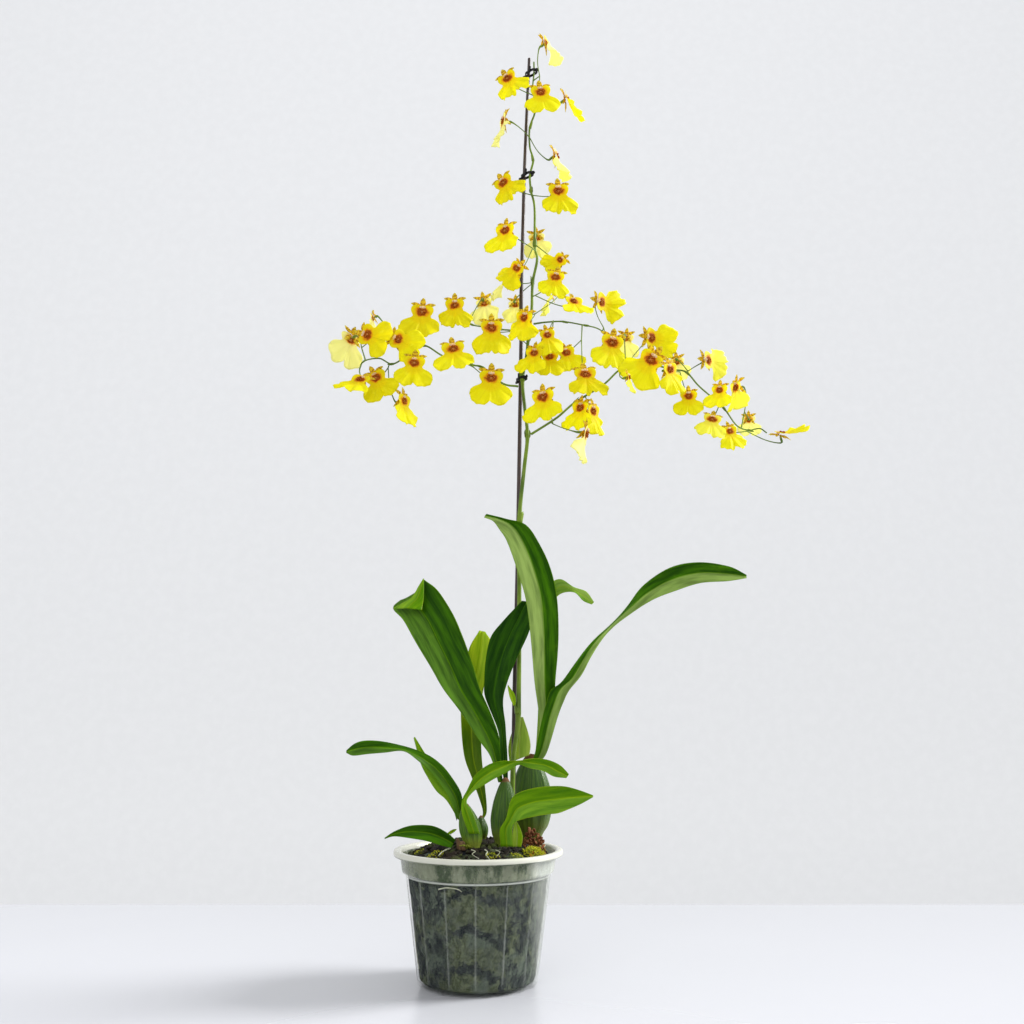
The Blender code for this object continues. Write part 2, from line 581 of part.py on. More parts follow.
def add_twig(form, fork, foot):
    """Grows a twig from the side of the stalk at the fork that looks towards the twig's foot."""
    direction = (foot - fork).normalized()
    form.normal_update()
    near = [face for face in form.faces if len(face.verts) == 4 and (face.calc_center_median() - fork).length < 8]
    side = max(near, key=lambda face: abs(face.normal.dot(direction)))
    ring = list(side.verts)
    form.faces.remove(side)
    ring = next_ring(form, ring, fork.lerp(foot, 0.15), direction, PEDICEL_RADIUS)
    ring = next_ring(form, ring, foot, direction, PEDICEL_RADIUS)
    form.faces.new(ring)


def make_flowers(name, twig_foot, fork, flowers):
    """One or two flowers on stalks that meet at the fork."""
    form = bmesh.new()
    fork = Vector(fork)
    ends = []
    for flower in flowers:
        ring, forward = add_flower(form, flower)
        neck = Vector(flower[:3]) - forward * NECK_LENGTH * flower[6]
        bend = neck.lerp(fork, 0.45) - forward * 3.0
        ring = next_ring(form, ring, neck, ((bend - neck).normalized() - forward).normalized(), PEDICEL_RADIUS)
        ring = next_ring(form, ring, bend, (fork - neck).normalized(), PEDICEL_RADIUS)
        ends.append((ring, bend))
    ring, bend = ends[0]
    direction = (fork - bend).normalized()
    if len(ends) == 1:
        ring = next_ring(form, ring, fork, direction, PEDICEL_RADIUS)
        form.faces.new(ring)
    else:
        other_ring, other_bend = ends[1]
        through = (other_bend - bend).normalized()
        ring = next_ring(form, ring, fork, through, PEDICEL_RADIUS)
        best = min(range(6), key=lambda shift: pairing(ring, other_ring, shift))
        matched = [other_ring[(best - index) % 6] for index in range(6)]
        join_rings(form, [ring, matched])
    if twig_foot:
        add_twig(form, fork, Vector(twig_foot))
    add_mesh(name, form, "flower", 50)


def pairing(ring, other_ring, shift):
    """How far apart two rings' points are when the second runs backwards from shift."""
    return sum((ring[index].co - other_ring[(shift - index) % 6].co).length for index in range(6))


def make_patch(name, centre, half_length, half_width, rise, look, seed):
    """A low tuft that follows the mix's surface with a small gap under it."""
    form = bmesh.new()
    lower = []
    upper = []
    for share in (1.0, 0.75, 0.45):
        under = []
        over = []
        for step in range(18):
            angle = 2 * math.pi * step / 18
            ragged = 1 + 0.14 * noise.noise(Vector((math.cos(angle), math.sin(angle), seed)) * 2)
            x = centre[0] + half_length * share * ragged * math.cos(angle)
            y = centre[1] + half_width * share * ragged * math.sin(angle)
            ground = mix_height(x, y) + 1.6
            bump = 0.7 + 0.5 * noise.noise(Vector((x, y, seed)) / 4)
            under.append(form.verts.new((x, y, ground)))
            over.append(form.verts.new((x, y, ground + 0.8 + rise * (1 - share**2) * bump)))
        lower.append(under)
        upper.append(over)
    ground = mix_height(*centre) + 1.6
    join_rings(form, [*reversed(lower), *upper])
    cap(form, lower[-1], (*centre, ground))
    cap(form, upper[-1], (*centre, ground + 0.8 + rise))
    add_mesh(name, form, look, 60)


clear_scene()
make_pot()
make_mix()
make_patch("moss_patch", (44, -25), 8, 6.5, 5, "moss", 3)
make_patch("bark_clump", (45, -8), 7.5, 7.5, 13, "bark", 8)
make_stake()
make_stems()
for clip_name, (clip_height, clip_turn) in CLIPS.items():
    make_clip(clip_name, clip_height, clip_turn)
for bulb_name, bulb in BULBS.items():
    make_bulb(bulb_name, *bulb)
for leaf_name, leaf_stations in LEAVES.items():
    make_leaf(leaf_name, leaf_stations, LEAF_FOLD.get(leaf_name, USUAL_FOLD))
for pair_name, pair in FLOWERS.items():
    make_flowers(pair_name, *pair)
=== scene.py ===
"""Looks for a dancing-lady orchid in a clear nursery pot.

Places are in the part's own frame: the origin is the middle of the pot's flat underside, +Z is up
and -Y is the front. The lists are in millimetres and become metres through MM.
"""

import json
import math
import random

import bmesh
import bpy
from mathutils import Matrix, Vector, noise

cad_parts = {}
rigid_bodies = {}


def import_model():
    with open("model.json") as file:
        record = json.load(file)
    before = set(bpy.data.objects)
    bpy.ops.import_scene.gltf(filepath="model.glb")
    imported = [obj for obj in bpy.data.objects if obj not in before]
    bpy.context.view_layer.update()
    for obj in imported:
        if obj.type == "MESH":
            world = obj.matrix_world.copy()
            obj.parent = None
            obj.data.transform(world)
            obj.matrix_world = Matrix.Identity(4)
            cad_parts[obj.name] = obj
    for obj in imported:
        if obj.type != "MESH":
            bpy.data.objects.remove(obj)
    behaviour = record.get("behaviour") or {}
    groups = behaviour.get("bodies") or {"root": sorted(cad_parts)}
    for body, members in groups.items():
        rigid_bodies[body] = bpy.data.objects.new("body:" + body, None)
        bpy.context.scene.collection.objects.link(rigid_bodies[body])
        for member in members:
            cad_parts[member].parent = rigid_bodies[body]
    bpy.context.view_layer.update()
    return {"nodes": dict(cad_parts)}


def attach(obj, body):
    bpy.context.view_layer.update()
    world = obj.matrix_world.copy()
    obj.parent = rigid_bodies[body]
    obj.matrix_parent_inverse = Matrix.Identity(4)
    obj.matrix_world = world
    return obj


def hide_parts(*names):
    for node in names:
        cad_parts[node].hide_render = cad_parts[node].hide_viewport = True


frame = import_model()

MM = 0.001

# ---------------------------------------------------------------- sizes and places

POT_BASE_RADIUS = 45.8
POT_STEP_RADIUS = 55.9
POT_STEP_HEIGHT = 78.5
POT_BAND_RADIUS = 60.3
POT_RIM_RADIUS = 65.3
POT_HEIGHT = 96.5
POT_WALL = 1.2
POT_CORNER_HEIGHT = 4.0
POT_FLOOR = 2.2
CONE_HEIGHT = POT_STEP_HEIGHT - POT_CORNER_HEIGHT
RIB_COUNT = 15
RIB_HEIGHT = 0.7
DRAIN_ANGLES = (-33, 87, 207)

MIX_TOP = 103.5
MIX_FALL = 12.5
MIX_RADIUS = 57.2
MIX_BUMP = 1.2

STAKE_RADIUS = 2.0
STAKE_ROUTE = (
    (26, 12, 18), (27, 12, 139), (28, 12, 209), (30, 12, 291), (31, 11, 341), (34, 10, 517),
    (34, 10, 555), (36, 9, 630), (37, 9, 669), (39, 8, 721), (42, 7, 789),
)
# Clips: height up the stake, and turn about it in degrees.
CLIPS = {"clip_top": (773, -42), "clip_middle": (671, -42), "clip_lower": (480, -62)}

# Points in each span of a stem, so that joints can be counted in spans.
STEM_STEPS = 8
# Route, radius at the foot and at the end, and the spans that carry a joint.
STEMS = {
    "flower_stem": ((
        (26, 4, 107), (27, 5, 162), (31, 4, 199), (32, 4, 290), (32, 3, 354), (36, 2, 398),
        (39, 0, 427), (37, 2, 451), (35, 4, 478), (38, 3, 496), (40, 2, 514), (43, 2, 540),
        (44, 2, 566), (48, 2, 588), (46, 3, 601), (46, 3, 638), (43, 4, 654), (42, 3, 669),
        (45, 3, 684), (42, 3, 697), (42, 3, 716), (47, 2, 733), (45, 3, 755), (46, 3, 771), (46, 2, 782),
    ), 2.2, 0.7, (2, 4, 6, 8, 10, 12, 14, 16, 18, 20, 22)),
    "branch_lower_right": ((
        (42, -3, 428), (63, -10, 440), (78, -14, 452), (102, -16, 467), (118, -14, 482), (138, -10, 488),
        (161, -6, 484), (174, -2, 483), (185, 0, 471), (205, 4, 454), (217, 8, 439), (228, 12, 436),
        (238, 14, 438), (244, 14, 434),
    ), 1.1, 0.55, (2, 4, 7, 9, 11)),
    "branch_lower_left": ((
        (31, 0, 471), (18, -8, 471), (2, -16, 482), (-7, -20, 483), (-30, -26, 488), (-46, -30, 496),
        (-58, -33, 488), (-71, -36, 478), (-82, -38, 482), (-94, -40, 479), (-97, -42, 472),
    ), 1.0, 0.55, (2, 3, 5, 7, 9)),
    "branch_upper_left": ((
        (37, -2, 518), (25, -6, 519), (17, -8, 519), (3, -11, 520), (-7, -13, 521), (-16, -14, 525),
    ), 0.9, 0.55, (2, 4)),
    "branch_upper_right": ((
        (45, 4, 529), (56, 10, 533), (71, 16, 536), (90, 22, 535), (101, 26, 534), (109, 26, 529),
    ), 0.9, 0.55, (2, 3)),
}
# The stem that each spray of flowers grows on.
SPRAYS = {
    "top_flowers": "flower_stem", "upper_left_flowers": "branch_upper_left",
    "lower_left_flowers": "branch_lower_left", "upper_right_flowers": "branch_upper_right",
    "lower_right_flowers": "branch_lower_right",
}

# Pseudobulbs: middle of the foot, height, half width, half depth, lean to +X over the height, and how much painted
# shade darkens the whole bulb.
BULBS = {
    "bulb_rear": ((40, 30, 104), 62, 17.5, 11.0, 1.5, 0.5),
    "bulb_front": ((19, -17, 104), 46, 10.0, 7.5, 2, 0.45),
    "bulb_small": ((3, -5, 105), 16, 5.0, 4.5, -1, 0.6),
    "bulb_left": ((-3, -27, 102), 30, 8.4, 4.8, -6, 0.1),
}

# Leaves: (left margin, right margin) at each station from the foot to the tip.
LEAVES = {
    "leaf_big_left": (
        ((15.5, -18, 147), (19, -18, 147)), ((9.5, -19, 166), (17, -19, 166)), ((1, -20, 178), (16, -19, 181)),
        ((-14, -20, 200), (10, -18, 198)),
        ((-28, -18, 218), (1, -15, 218)), ((-39, -13, 236), (-5, -10, 237)), ((-53, -7, 258), (-13, -4, 258)),
        ((-62, -2, 273), (-22, 2, 278)), ((-71, 4, 283), (-35, 8, 298)), ((-66, 12, 290), (-47, 14, 308)),
    ),
    "leaf_slim_rear": (
        ((2, -4, 118.5), (4, -4, 118.5)), ((3, -2, 126), (6.5, -2, 126)),
        ((-5, 0, 148), (4, 0, 150)), ((-12, 2, 167), (2, 2, 167)),
        ((-15, 6, 198), (1, 6, 200)), ((-14, 9, 217), (3, 9, 218)), ((-11, 12, 235), (7, 12, 237)),
        ((-9, 14, 251), (10, 14, 254)), ((-1, 17, 266), (4, 17, 265)),
    ),
    "leaf_dark": (
        ((20, -15, 147), (23, -15, 147)), ((16.5, -13, 166), (22.5, -12.5, 166)), ((15, -11, 186), (21, -9, 188)),
        ((5, -8, 211), (19, -7, 208)),
        ((4, -7, 223), (22, -6, 222)), ((5, -6, 241), (29, -6, 240)), ((9, -5, 259), (39, -6, 261)),
        ((19, -5, 272), (42, -6, 274)), ((34, -6, 288), (42, -6, 287)),
    ),
    "leaf_tall": (
        ((43, 30, 161), (48, 30, 161)), ((45.5, 29, 170), (54, 29, 170)), ((48, 21, 194), (60, 20, 202)),
        ((44, 4, 224), (61, 5, 225)),
        ((41, -12, 256), (63, -10, 256)), ((37, -18, 287), (62, -18, 287)), ((30, -22, 311), (57, -22, 311)),
        ((22, -25, 333), (48, -25, 331)), ((16, -29, 342), (37, -29, 346)), ((11, -33, 348), (21, -33, 350)),
        ((4, -38, 350), (6, -38, 353)),
    ),
    "leaf_right": (
        ((41, 23, 160), (47, 23, 160)), ((44.5, 17, 168), (54, 16, 168)), ((50, 11, 194), (62.5, 11, 195)),
        ((53.5, 7, 207), (67, 7, 207)),
        ((57, 5.5, 217), (72, 5.5, 217)), ((66, 5, 224), (82, 6, 229)),
        ((78, 10, 240), (90, 13, 243)), ((91, 15, 256), (100, 21, 258)), ((109, 20, 272), (111, 29, 270)),
        ((124, 26, 289), (130, 33, 284)), ((138, 32, 306), (147, 34, 294)), ((161, 35, 321), (165, 36, 301)),
        ((186, 38, 326), (187, 38, 308)), ((212, 41, 323), (211, 41, 310)), ((228, 44, 316), (228, 44, 313)),
    ),
    "leaf_behind": (
        ((42, 34, 161), (47, 34, 161)), ((45.5, 36, 170), (54, 36, 170)), ((48, 34, 210), (58, 34, 210)),
        ((49, 28, 251), (58, 28, 251)),
        ((49, 22, 284), (60, 22, 278)), ((57, 16, 303), (61, 16, 290)), ((66, 12, 308), (67, 12, 296)),
        ((77, 9, 301), (77, 6, 296)), ((87, 7, 297), (84, 4, 289)), ((93, 4, 288), (91, 4, 286)),
    ),
    "leaf_front_arch": (
        ((-6, -34, 111), (2, -34, 111)), ((-11.5, -34, 126), (-3.5, -34, 126)), ((-11.5, -31, 135), (-8, -31, 134)),
        ((-8, -28, 142), (-3, -28, 141)), ((-2, -32, 153), (5, -32, 146)),
        ((8, -36, 161), (13, -37, 151)), ((19, -40, 164), (23, -37, 156)), ((30, -45, 164), (31, -37, 161)),
        ((42, -44, 166), (39, -42, 159)), ((53, -45, 165), (49, -45, 157)), ((62, -46, 161), (57, -46, 153)),
        ((68, -48, 155), (66, -48, 152)),
    ),
    "leaf_front_right": (
        ((17.5, -34, 102), (27, -34, 102)), ((17, -34, 114), (26, -34, 113)), ((21.5, -34, 122), (28, -34, 119)),
        ((25.5, -33.5, 136), (34, -34, 121.5)), ((32, -34, 141), (43, -34, 123.5)),
        ((42.5, -34.5, 144), (51.5, -35, 125)),
        ((54, -36, 145.5), (60, -37, 126)), ((65.5, -38, 145.5), (68, -39, 129)), ((76, -40.5, 143), (77, -41, 133)),
        ((86, -43, 139.5), (86, -43, 138)),
    ),
    "leaf_lower_left": (
        ((-16, -20, 119), (-11, -20, 130)), ((-21, -21, 134), (-13, -21, 140)), ((-28, -23, 145), (-19, -23, 150)),
        ((-35, -26, 154), (-27, -26, 160)), ((-44, -32, 163), (-38, -27, 168)), ((-55, -38, 171), (-54, -29, 174)),
        ((-69, -40, 170), (-70, -37, 178)), ((-82, -42, 169), (-83, -42, 179)), ((-92, -45, 168), (-91, -45, 177)),
        ((-97, -47, 170), (-97, -47, 172)),
    ),
    "leaf_pointed": (
        ((-15, -14, 119), (-8, -14, 122)), ((-24, -14, 133), (-14, -14, 135)), ((-32, -13, 140), (-21, -13, 147)),
        ((-39, -12, 150), (-30, -12, 157)), ((-45, -11, 161), (-39, -11, 165)), ((-51, -9, 180), (-50, -9, 181)),
    ),
    "leaf_low_left": (
        ((-19, -34, 101), (-16, -34, 107)), ((-27, -34, 103), (-24, -34, 113)), ((-38, -34, 106), (-34, -34, 117)),
        ((-51, -33, 108), (-49, -33, 117)), ((-62, -32, 109), (-61, -32, 113)), ((-69, -31, 107), (-69, -31, 108)),
    ),
    "sheath_front": (
        ((26, -28, 101), (33, -28, 101)), ((26, -28.5, 108), (34, -28.5, 108)), ((27, -29, 115), (32, -29, 115)),
        ((28, -30, 120), (29, -30, 120)),
    ),
    "sheath_stem": (
        ((24, 18, 160), (40, 17, 166)), ((23, 17, 172), (41, 17, 174)), ((26, 16, 184), (39, 16, 184)),
        ((33, 15, 196), (35, 15, 196)),
    ),
}

# Flowers hang in pairs: the foot of a shared twig if there is one, the fork of the two stalks, then each
# flower's throat (x, y, z), turn to the right, tilt up, swing of the lip, and size.
FLOWERS = {
    "top_flowers_1": (None, (51, -3, 764), ((56, -4, 796, 80, 35, 45, 0.95), (51, -20, 736, 5, 0, 8, 1.0))),
    "top_flowers_2": (None, (45, -1, 746), ((22, -16, 752, -20, 0, 28, 1.0), (74, 0, 742, 75, 20, 25, 1.0))),
    "top_flowers_3": (None, (42, 0, 704), ((20, -6, 717, -75, 5, -10, 1.0), (64, 0, 686, 75, 20, 25, 1.0))),
    "top_flowers_4": (None, (44, 0, 648), ((19, -14, 652, -25, 0, 32, 1.0), (66, -16, 643, 5, 0, 3, 1.05))),
    "top_flowers_5": (None, (44, -1, 597), ((21, -14, 607, -30, 0, -8, 1.0), (31, -18, 570, -20, 0, -50, 0.85))),
    "top_flowers_6": (None, (47, 7, 604), ((48, 24, 621, 175, 0, 5, 0.85), (69, 6, 589, -10, 5, -60, 0.75))),
    "top_flowers_7": (None, (45, 5, 568), ((22, 0, 568, -85, 25, -35, 0.9), (29, 34, 561, 170, 0, 0, 0.75))),
    "top_flowers_8": (None, (46, -1, 553), ((63, -20, 561, -5, 5, -15, 0.9), (79, 2, 548, 20, 25, 5, 0.9))),
    "top_flowers_9": (None, (46, 1, 537), ((37, -32, 520, -30, 0, -18, 0.9), (62, 22, 566, -88, 10, -27, 0.95))),
    "upper_left_flowers_1": (
        None, (-10, -11, 525), ((-22, -22, 535, -3, 0, 0, 0.95), (1, 12, 553, 170, 0, 10, 0.85))),
    "upper_left_flowers_2": (
        None, (27, -9, 517), ((9, -24, 514, 0, 0, 0, 1.1), (45, -24, 492, -25, 0, -12, 0.85))),
    "lower_left_flowers_1": (
        (-95, -37, 482), (-97, -36, 492), ((-107, -24, 505, -140, 0, -20, 1.0), (-91, -48, 498, -10, 0, 70, 1.0))),
    "lower_left_flowers_2": (
        None, (-65, -32, 488), ((-90, -20, 525, -100, 0, 0, 0.6), (-48, -34, 524, 0, 0, -5, 1.05))),
    "lower_left_flowers_3": (
        None, (-60, -36, 486), ((-67, -46, 495, 10, 0, 66, 0.95), (-52, -50, 474, 0, 0, -5, 0.95))),
    "lower_left_flowers_4": (
        None, (-75, -35, 475), ((-85, -34, 467, 0, 0, 27, 0.95), (-63, -36, 447, 64, 0, 8, 0.95))),
    "lower_left_flowers_5": (None, (-97, -43, 469), ((-94, -52, 458, -10, 40, -20, 0.95),)),
    "lower_left_flowers_6": (
        None, (-6, -23, 480), ((-22, -40, 489, 0, 15, 8, 1.05), (9, -28, 469, 0, 0, -2, 1.1))),
    "upper_right_flowers_1": (
        None, (62, 9, 534), ((55, -26, 507, 10, 0, 15, 0.8), (58, -10, 494, 0, 0, 0, 0.8))),
    "upper_right_flowers_2": (
        (88, 19, 533), (86, 6, 515), ((72, 2, 502, 10, 5, 20, 0.85), (86, -26, 472, 5, 20, 5, 1.1))),
    "upper_right_flowers_3": (
        None, (107, 23, 533), ((112, 4, 512, 5, 0, -12, 1.15), (103, 14, 553, 32, 0, 82, 0.95))),
    "lower_right_flowers_1": (
        None, (60, -13, 434), ((52, -26, 453, -20, 5, 5, 1.05), (83, -46, 417, 80, -10, 8, 1.05))),
    "lower_right_flowers_2": (
        None, (89, -8, 456), ((94, 8, 452, 50, 0, 10, 0.95), (83, -24, 445, -40, 0, -12, 0.9))),
    "lower_right_flowers_3": (
        None, (117, -17, 479), ((142, -24, 486, -15, 0, -42, 1.2), (119, -44, 464, 70, 10, 30, 0.6))),
    "lower_right_flowers_4": (
        None, (122, -10, 486), ((127, 30, 527, 165, 0, -10, 0.8), (146, 12, 519, 20, 0, 85, 1.0))),
    "lower_right_flowers_5": (
        None, (168, -6, 482), ((154, -32, 475, 40, 0, 24, 0.95), (173, -14, 458, -5, 0, 0, 0.8))),
    "lower_right_flowers_6": (
        None, (176, 1, 485), ((169, 14, 499, 170, 0, 5, 0.75), (192, 0, 494, 30, 0, 90, 0.9))),
    "lower_right_flowers_7": (
        None, (203, 1, 458), ((200, -12, 464, -30, 0, -8, 0.75), (193, -8, 439, 0, 20, -15, 0.85))),
    "lower_right_flowers_8": (
        (222, 12, 441), (225, 11, 452), ((220, 10, 474, -70, 0, -20, 0.95), (232, 26, 450, 170, 20, 0, 0.65))),
    "lower_right_flowers_9": (
        None, (226, 9, 434), ((207, -6, 430, 20, 0, 15, 0.75), (256, 14, 432, 0, 70, 95, 0.95))),
}

# ---------------------------------------------------------------- tools


def put(tree, kind, inputs=(), **settings):
    """Adds a node. Each input is a plain value or another node's output socket."""
    made = tree.nodes.new(kind)
    for key, value in settings.items():
        setattr(made, key, value)
    for key, value in dict(inputs).items():
        socket = made.inputs[key]
        if isinstance(value, bpy.types.NodeSocket):
            tree.links.new(value, socket)
        else:
            socket.default_value = value
    return made


def maths(tree, operation, first, second=0.0, third=0.0):
    """One sum, as an output socket."""
    return put(tree, "ShaderNodeMath", {0: first, 1: second, 2: third}, operation=operation).outputs[0]


def ramp(tree, value, low, high, start=0.0, end=1.0):
    """Carries value from low..high to start..end, smoothly and within bounds."""
    inputs = {"Value": value, "From Min": low, "From Max": high, "To Min": start, "To Max": end}
    made = put(tree, "ShaderNodeMapRange", inputs, interpolation_type="SMOOTHSTEP")
    return made.outputs["Result"]


def tint(tree, share, first, second):
    """A colour between two others. A colour is three numbers or a socket."""
    made = tree.nodes.new("ShaderNodeMix")
    made.data_type = "RGBA"
    for key, value in ((0, share), (6, first), (7, second)):
        if isinstance(value, bpy.types.NodeSocket):
            tree.links.new(value, made.inputs[key])
        elif key:
            made.inputs[key].default_value = (*value, 1)
        else:
            made.inputs[key].default_value = value
    return made.outputs[2]


def noise_on(tree, vector, scale, detail=3.0, rough=0.55):
    """A soft random pattern, 0 to 1, over a place."""
    inputs = {"Vector": vector, "Scale": scale, "Detail": detail, "Roughness": rough}
    return put(tree, "ShaderNodeTexNoise", inputs).outputs["Fac"]


def object_place(tree):
    """Where a point is on the piece, in metres."""
    return put(tree, "ShaderNodeTexCoord").outputs["Object"]


def attribute(tree, name, output="Vector"):
    """A value that the piece's points carry."""
    return put(tree, "ShaderNodeAttribute", attribute_name=name).outputs[output]


def split(tree, vector):
    """The three numbers of a place."""
    return put(tree, "ShaderNodeSeparateXYZ", {0: vector}).outputs


def stretch(tree, vector, scale):
    """A place with each axis scaled, so that a pattern runs one way."""
    return put(tree, "ShaderNodeMapping", {"Vector": vector, "Scale": scale}).outputs[0]


def new_finish(name, roughness=0.5, specular=0.5, coat=0.0):
    """A material with its shader. Returns the material, its tree and the shader."""
    material = bpy.data.materials.new(name)
    material.use_nodes = True
    tree = material.node_tree
    shader = tree.nodes["Principled BSDF"]
    shader.inputs["Roughness"].default_value = roughness
    shader.inputs["Specular IOR Level"].default_value = specular
    shader.inputs["Coat Weight"].default_value = coat
    shader.inputs["Coat Roughness"].default_value = 0.2
    return material, tree, shader


def wire(tree, output, socket):
    tree.links.new(output, socket)


def bump(tree, shader, height, strength, distance):
    """Raises the surface by height times distance, in metres."""
    made = put(tree, "ShaderNodeBump", {"Height": height, "Strength": strength, "Distance": distance})
    wire(tree, made.outputs[0], shader.inputs["Normal"])


def let_light_through(tree, shader, colour, share):
    """Thin tissue glows a little when the light is behind it."""
    glow = put(tree, "ShaderNodeBsdfTranslucent", {"Color": colour})
    mixed = put(tree, "ShaderNodeMixShader", {0: share, 1: shader.outputs[0], 2: glow.outputs[0]})
    wire(tree, mixed.outputs[0], tree.nodes["Material Output"].inputs["Surface"])


def smooth_line(points, steps):
    """Points on a smooth curve through the given ones, with steps in each span."""
    given = [Vector(point) for point in points]
    padded = [2 * given[0] - given[1], *given, 2 * given[-1] - given[-2]]
    line = []
    for before, start, end, after in zip(padded, padded[1:], padded[2:], padded[3:]):
        for step in range(steps):
            t = step / steps
            line.append(0.5 * (
                2 * start + (end - before) * t + (2 * before - 5 * start + 4 * end - after) * t**2
                + (3 * start - before - 3 * end + after) * t**3
            ))
    return [*line, given[-1]]


def wave(x, y=0.0, z=0.0):
    """A smooth, repeatable wander between about -1 and 1."""
    return noise.noise(Vector((x, y, z)))


def in_scene(name, data):
    """A new object that shows this data."""
    made = bpy.data.objects.new(name, data)
    bpy.context.scene.collection.objects.link(made)
    return made


def make_object(name, form, finish=None, smooth=True, turn_out=True):
    """Turns a bmesh in millimetres into an object in metres."""
    if turn_out:
        bmesh.ops.recalc_face_normals(form, faces=form.faces)
    bmesh.ops.scale(form, vec=(MM, MM, MM), verts=form.verts)
    mesh = bpy.data.meshes.new(name)
    form.to_mesh(mesh)
    form.free()
    if smooth:
        mesh.shade_smooth()
    if finish:
        mesh.materials.append(finish)
    return in_scene(name, mesh)


def join_rings(form, rings, closed=True):
    """Bridges each ring of points to the next."""
    for lower, upper in zip(rings, rings[1:]):
        for index in range(len(lower) if closed else len(lower) - 1):
            following = (index + 1) % len(lower)
            form.faces.new((lower[index], lower[following], upper[following], upper[index]))


def cap(form, ring, centre):
    """Closes a ring of points with a fan round a middle point."""
    middle = form.verts.new(centre)
    for index, corner in enumerate(ring):
        form.faces.new((middle, corner, ring[(index + 1) % len(ring)]))
    return middle


def start_tree(name, inputs):
    """A new geometry tree with named inputs. Returns the tree and its input node."""
    tree = bpy.data.node_groups.new(name, "GeometryNodeTree")
    tree.interface.new_socket("Geometry", in_out="INPUT", socket_type="NodeSocketGeometry")
    for label, (kind, value) in inputs.items():
        socket = tree.interface.new_socket(label, in_out="INPUT", socket_type="NodeSocket" + kind)
        if value is not None:
            socket.default_value = value
    tree.interface.new_socket("Geometry", in_out="OUTPUT", socket_type="NodeSocketGeometry")
    return tree, tree.nodes.new("NodeGroupInput")


def end_tree(tree, geometry, finish):
    """Every tree ends the same way: real geometry, then its finish."""
    real = put(tree, "GeometryNodeRealizeInstances", {0: geometry})
    coloured = put(tree, "GeometryNodeSetMaterial", {"Geometry": real.outputs[0], "Material": finish})
    sink = tree.nodes.new("NodeGroupOutput")
    tree.links.new(coloured.outputs[0], sink.inputs[0])


def grow(name, base, tree, values):
    """Runs a tree on a base object, which then goes, and returns the result as a plain mesh object."""
    modifier = base.modifiers.new(tree.name, "NODES")
    modifier.node_group = tree
    for socket in tree.interface.items_tree:
        if socket.item_type == "SOCKET" and socket.in_out == "INPUT" and socket.name in values:
            modifier[socket.identifier] = values[socket.name]
    graph = bpy.context.evaluated_depsgraph_get()
    mesh = bpy.data.meshes.new_from_object(
        base.evaluated_get(graph), preserve_all_data_layers=True, depsgraph=graph)
    mesh.name = name
    base.modifiers.remove(modifier)
    bpy.data.objects.remove(base, do_unlink=True)
    return in_scene(name, mesh)


def set_values(mesh, name, kind, values):
    """Stores one value for each point of a mesh."""
    layer = mesh.attributes.new(name, kind, "POINT")
    for item, value in zip(layer.data, values):
        item.value = value


def on_root(piece, slot, *nodes):
    """The piece rides on the part's one body and stands for the CAD nodes; slot is not used."""
    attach(piece, "root")
    if nodes:
        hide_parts(*nodes)
    return piece


def nodes_named(start):
    """The CAD nodes whose names start so."""
    return [name for name in frame["nodes"] if name.startswith(start)]


# ---------------------------------------------------------------- trees


def stored(tree, name, kind):
    """A value that each point of the base carries."""
    return put(tree, "GeometryNodeInputNamedAttribute", {"Name": name}, data_type=kind).outputs["Attribute"]


def stem_tree():
    """Round stems along the base's edges, as thick as each point says."""
    tree, given = start_tree("round_stems", {"Sides": ("Int", 10), "Finish": ("Material", None)})
    line = put(tree, "GeometryNodeMeshToCurve", {"Mesh": given.outputs["Geometry"]})
    circle = put(tree, "GeometryNodeCurvePrimitiveCircle", {"Resolution": given.outputs["Sides"], "Radius": 1.0})
    tube = put(tree, "GeometryNodeCurveToMesh", {
        "Curve": line.outputs[0], "Profile Curve": circle.outputs[0], "Scale": stored(tree, "thickness", "FLOAT"),
        "Fill Caps": True})
    smooth = put(tree, "GeometryNodeSetShadeSmooth", {"Geometry": tube.outputs[0]})
    end_tree(tree, smooth.outputs[0], given.outputs["Finish"])
    return tree


def spray_tree():
    """A flower at each point, turned and sized as the point says."""
    tree, given = start_tree("spray_of_flowers", {
        "Flowers": ("Collection", None), "Size": ("Float", 1.0), "Finish": ("Material", None)})
    kinds = put(tree, "GeometryNodeCollectionInfo", {
        "Collection": given.outputs["Flowers"], "Separate Children": True, "Reset Children": True})
    scale = maths(tree, "MULTIPLY", stored(tree, "size", "FLOAT"), given.outputs["Size"])
    placed = put(tree, "GeometryNodeInstanceOnPoints", {
        "Points": given.outputs["Geometry"], "Instance": kinds.outputs[0], "Pick Instance": True,
        "Instance Index": stored(tree, "kind", "INT"), "Rotation": stored(tree, "turn", "QUATERNION"),
        "Scale": scale})
    end_tree(tree, placed.outputs[0], given.outputs["Finish"])
    return tree


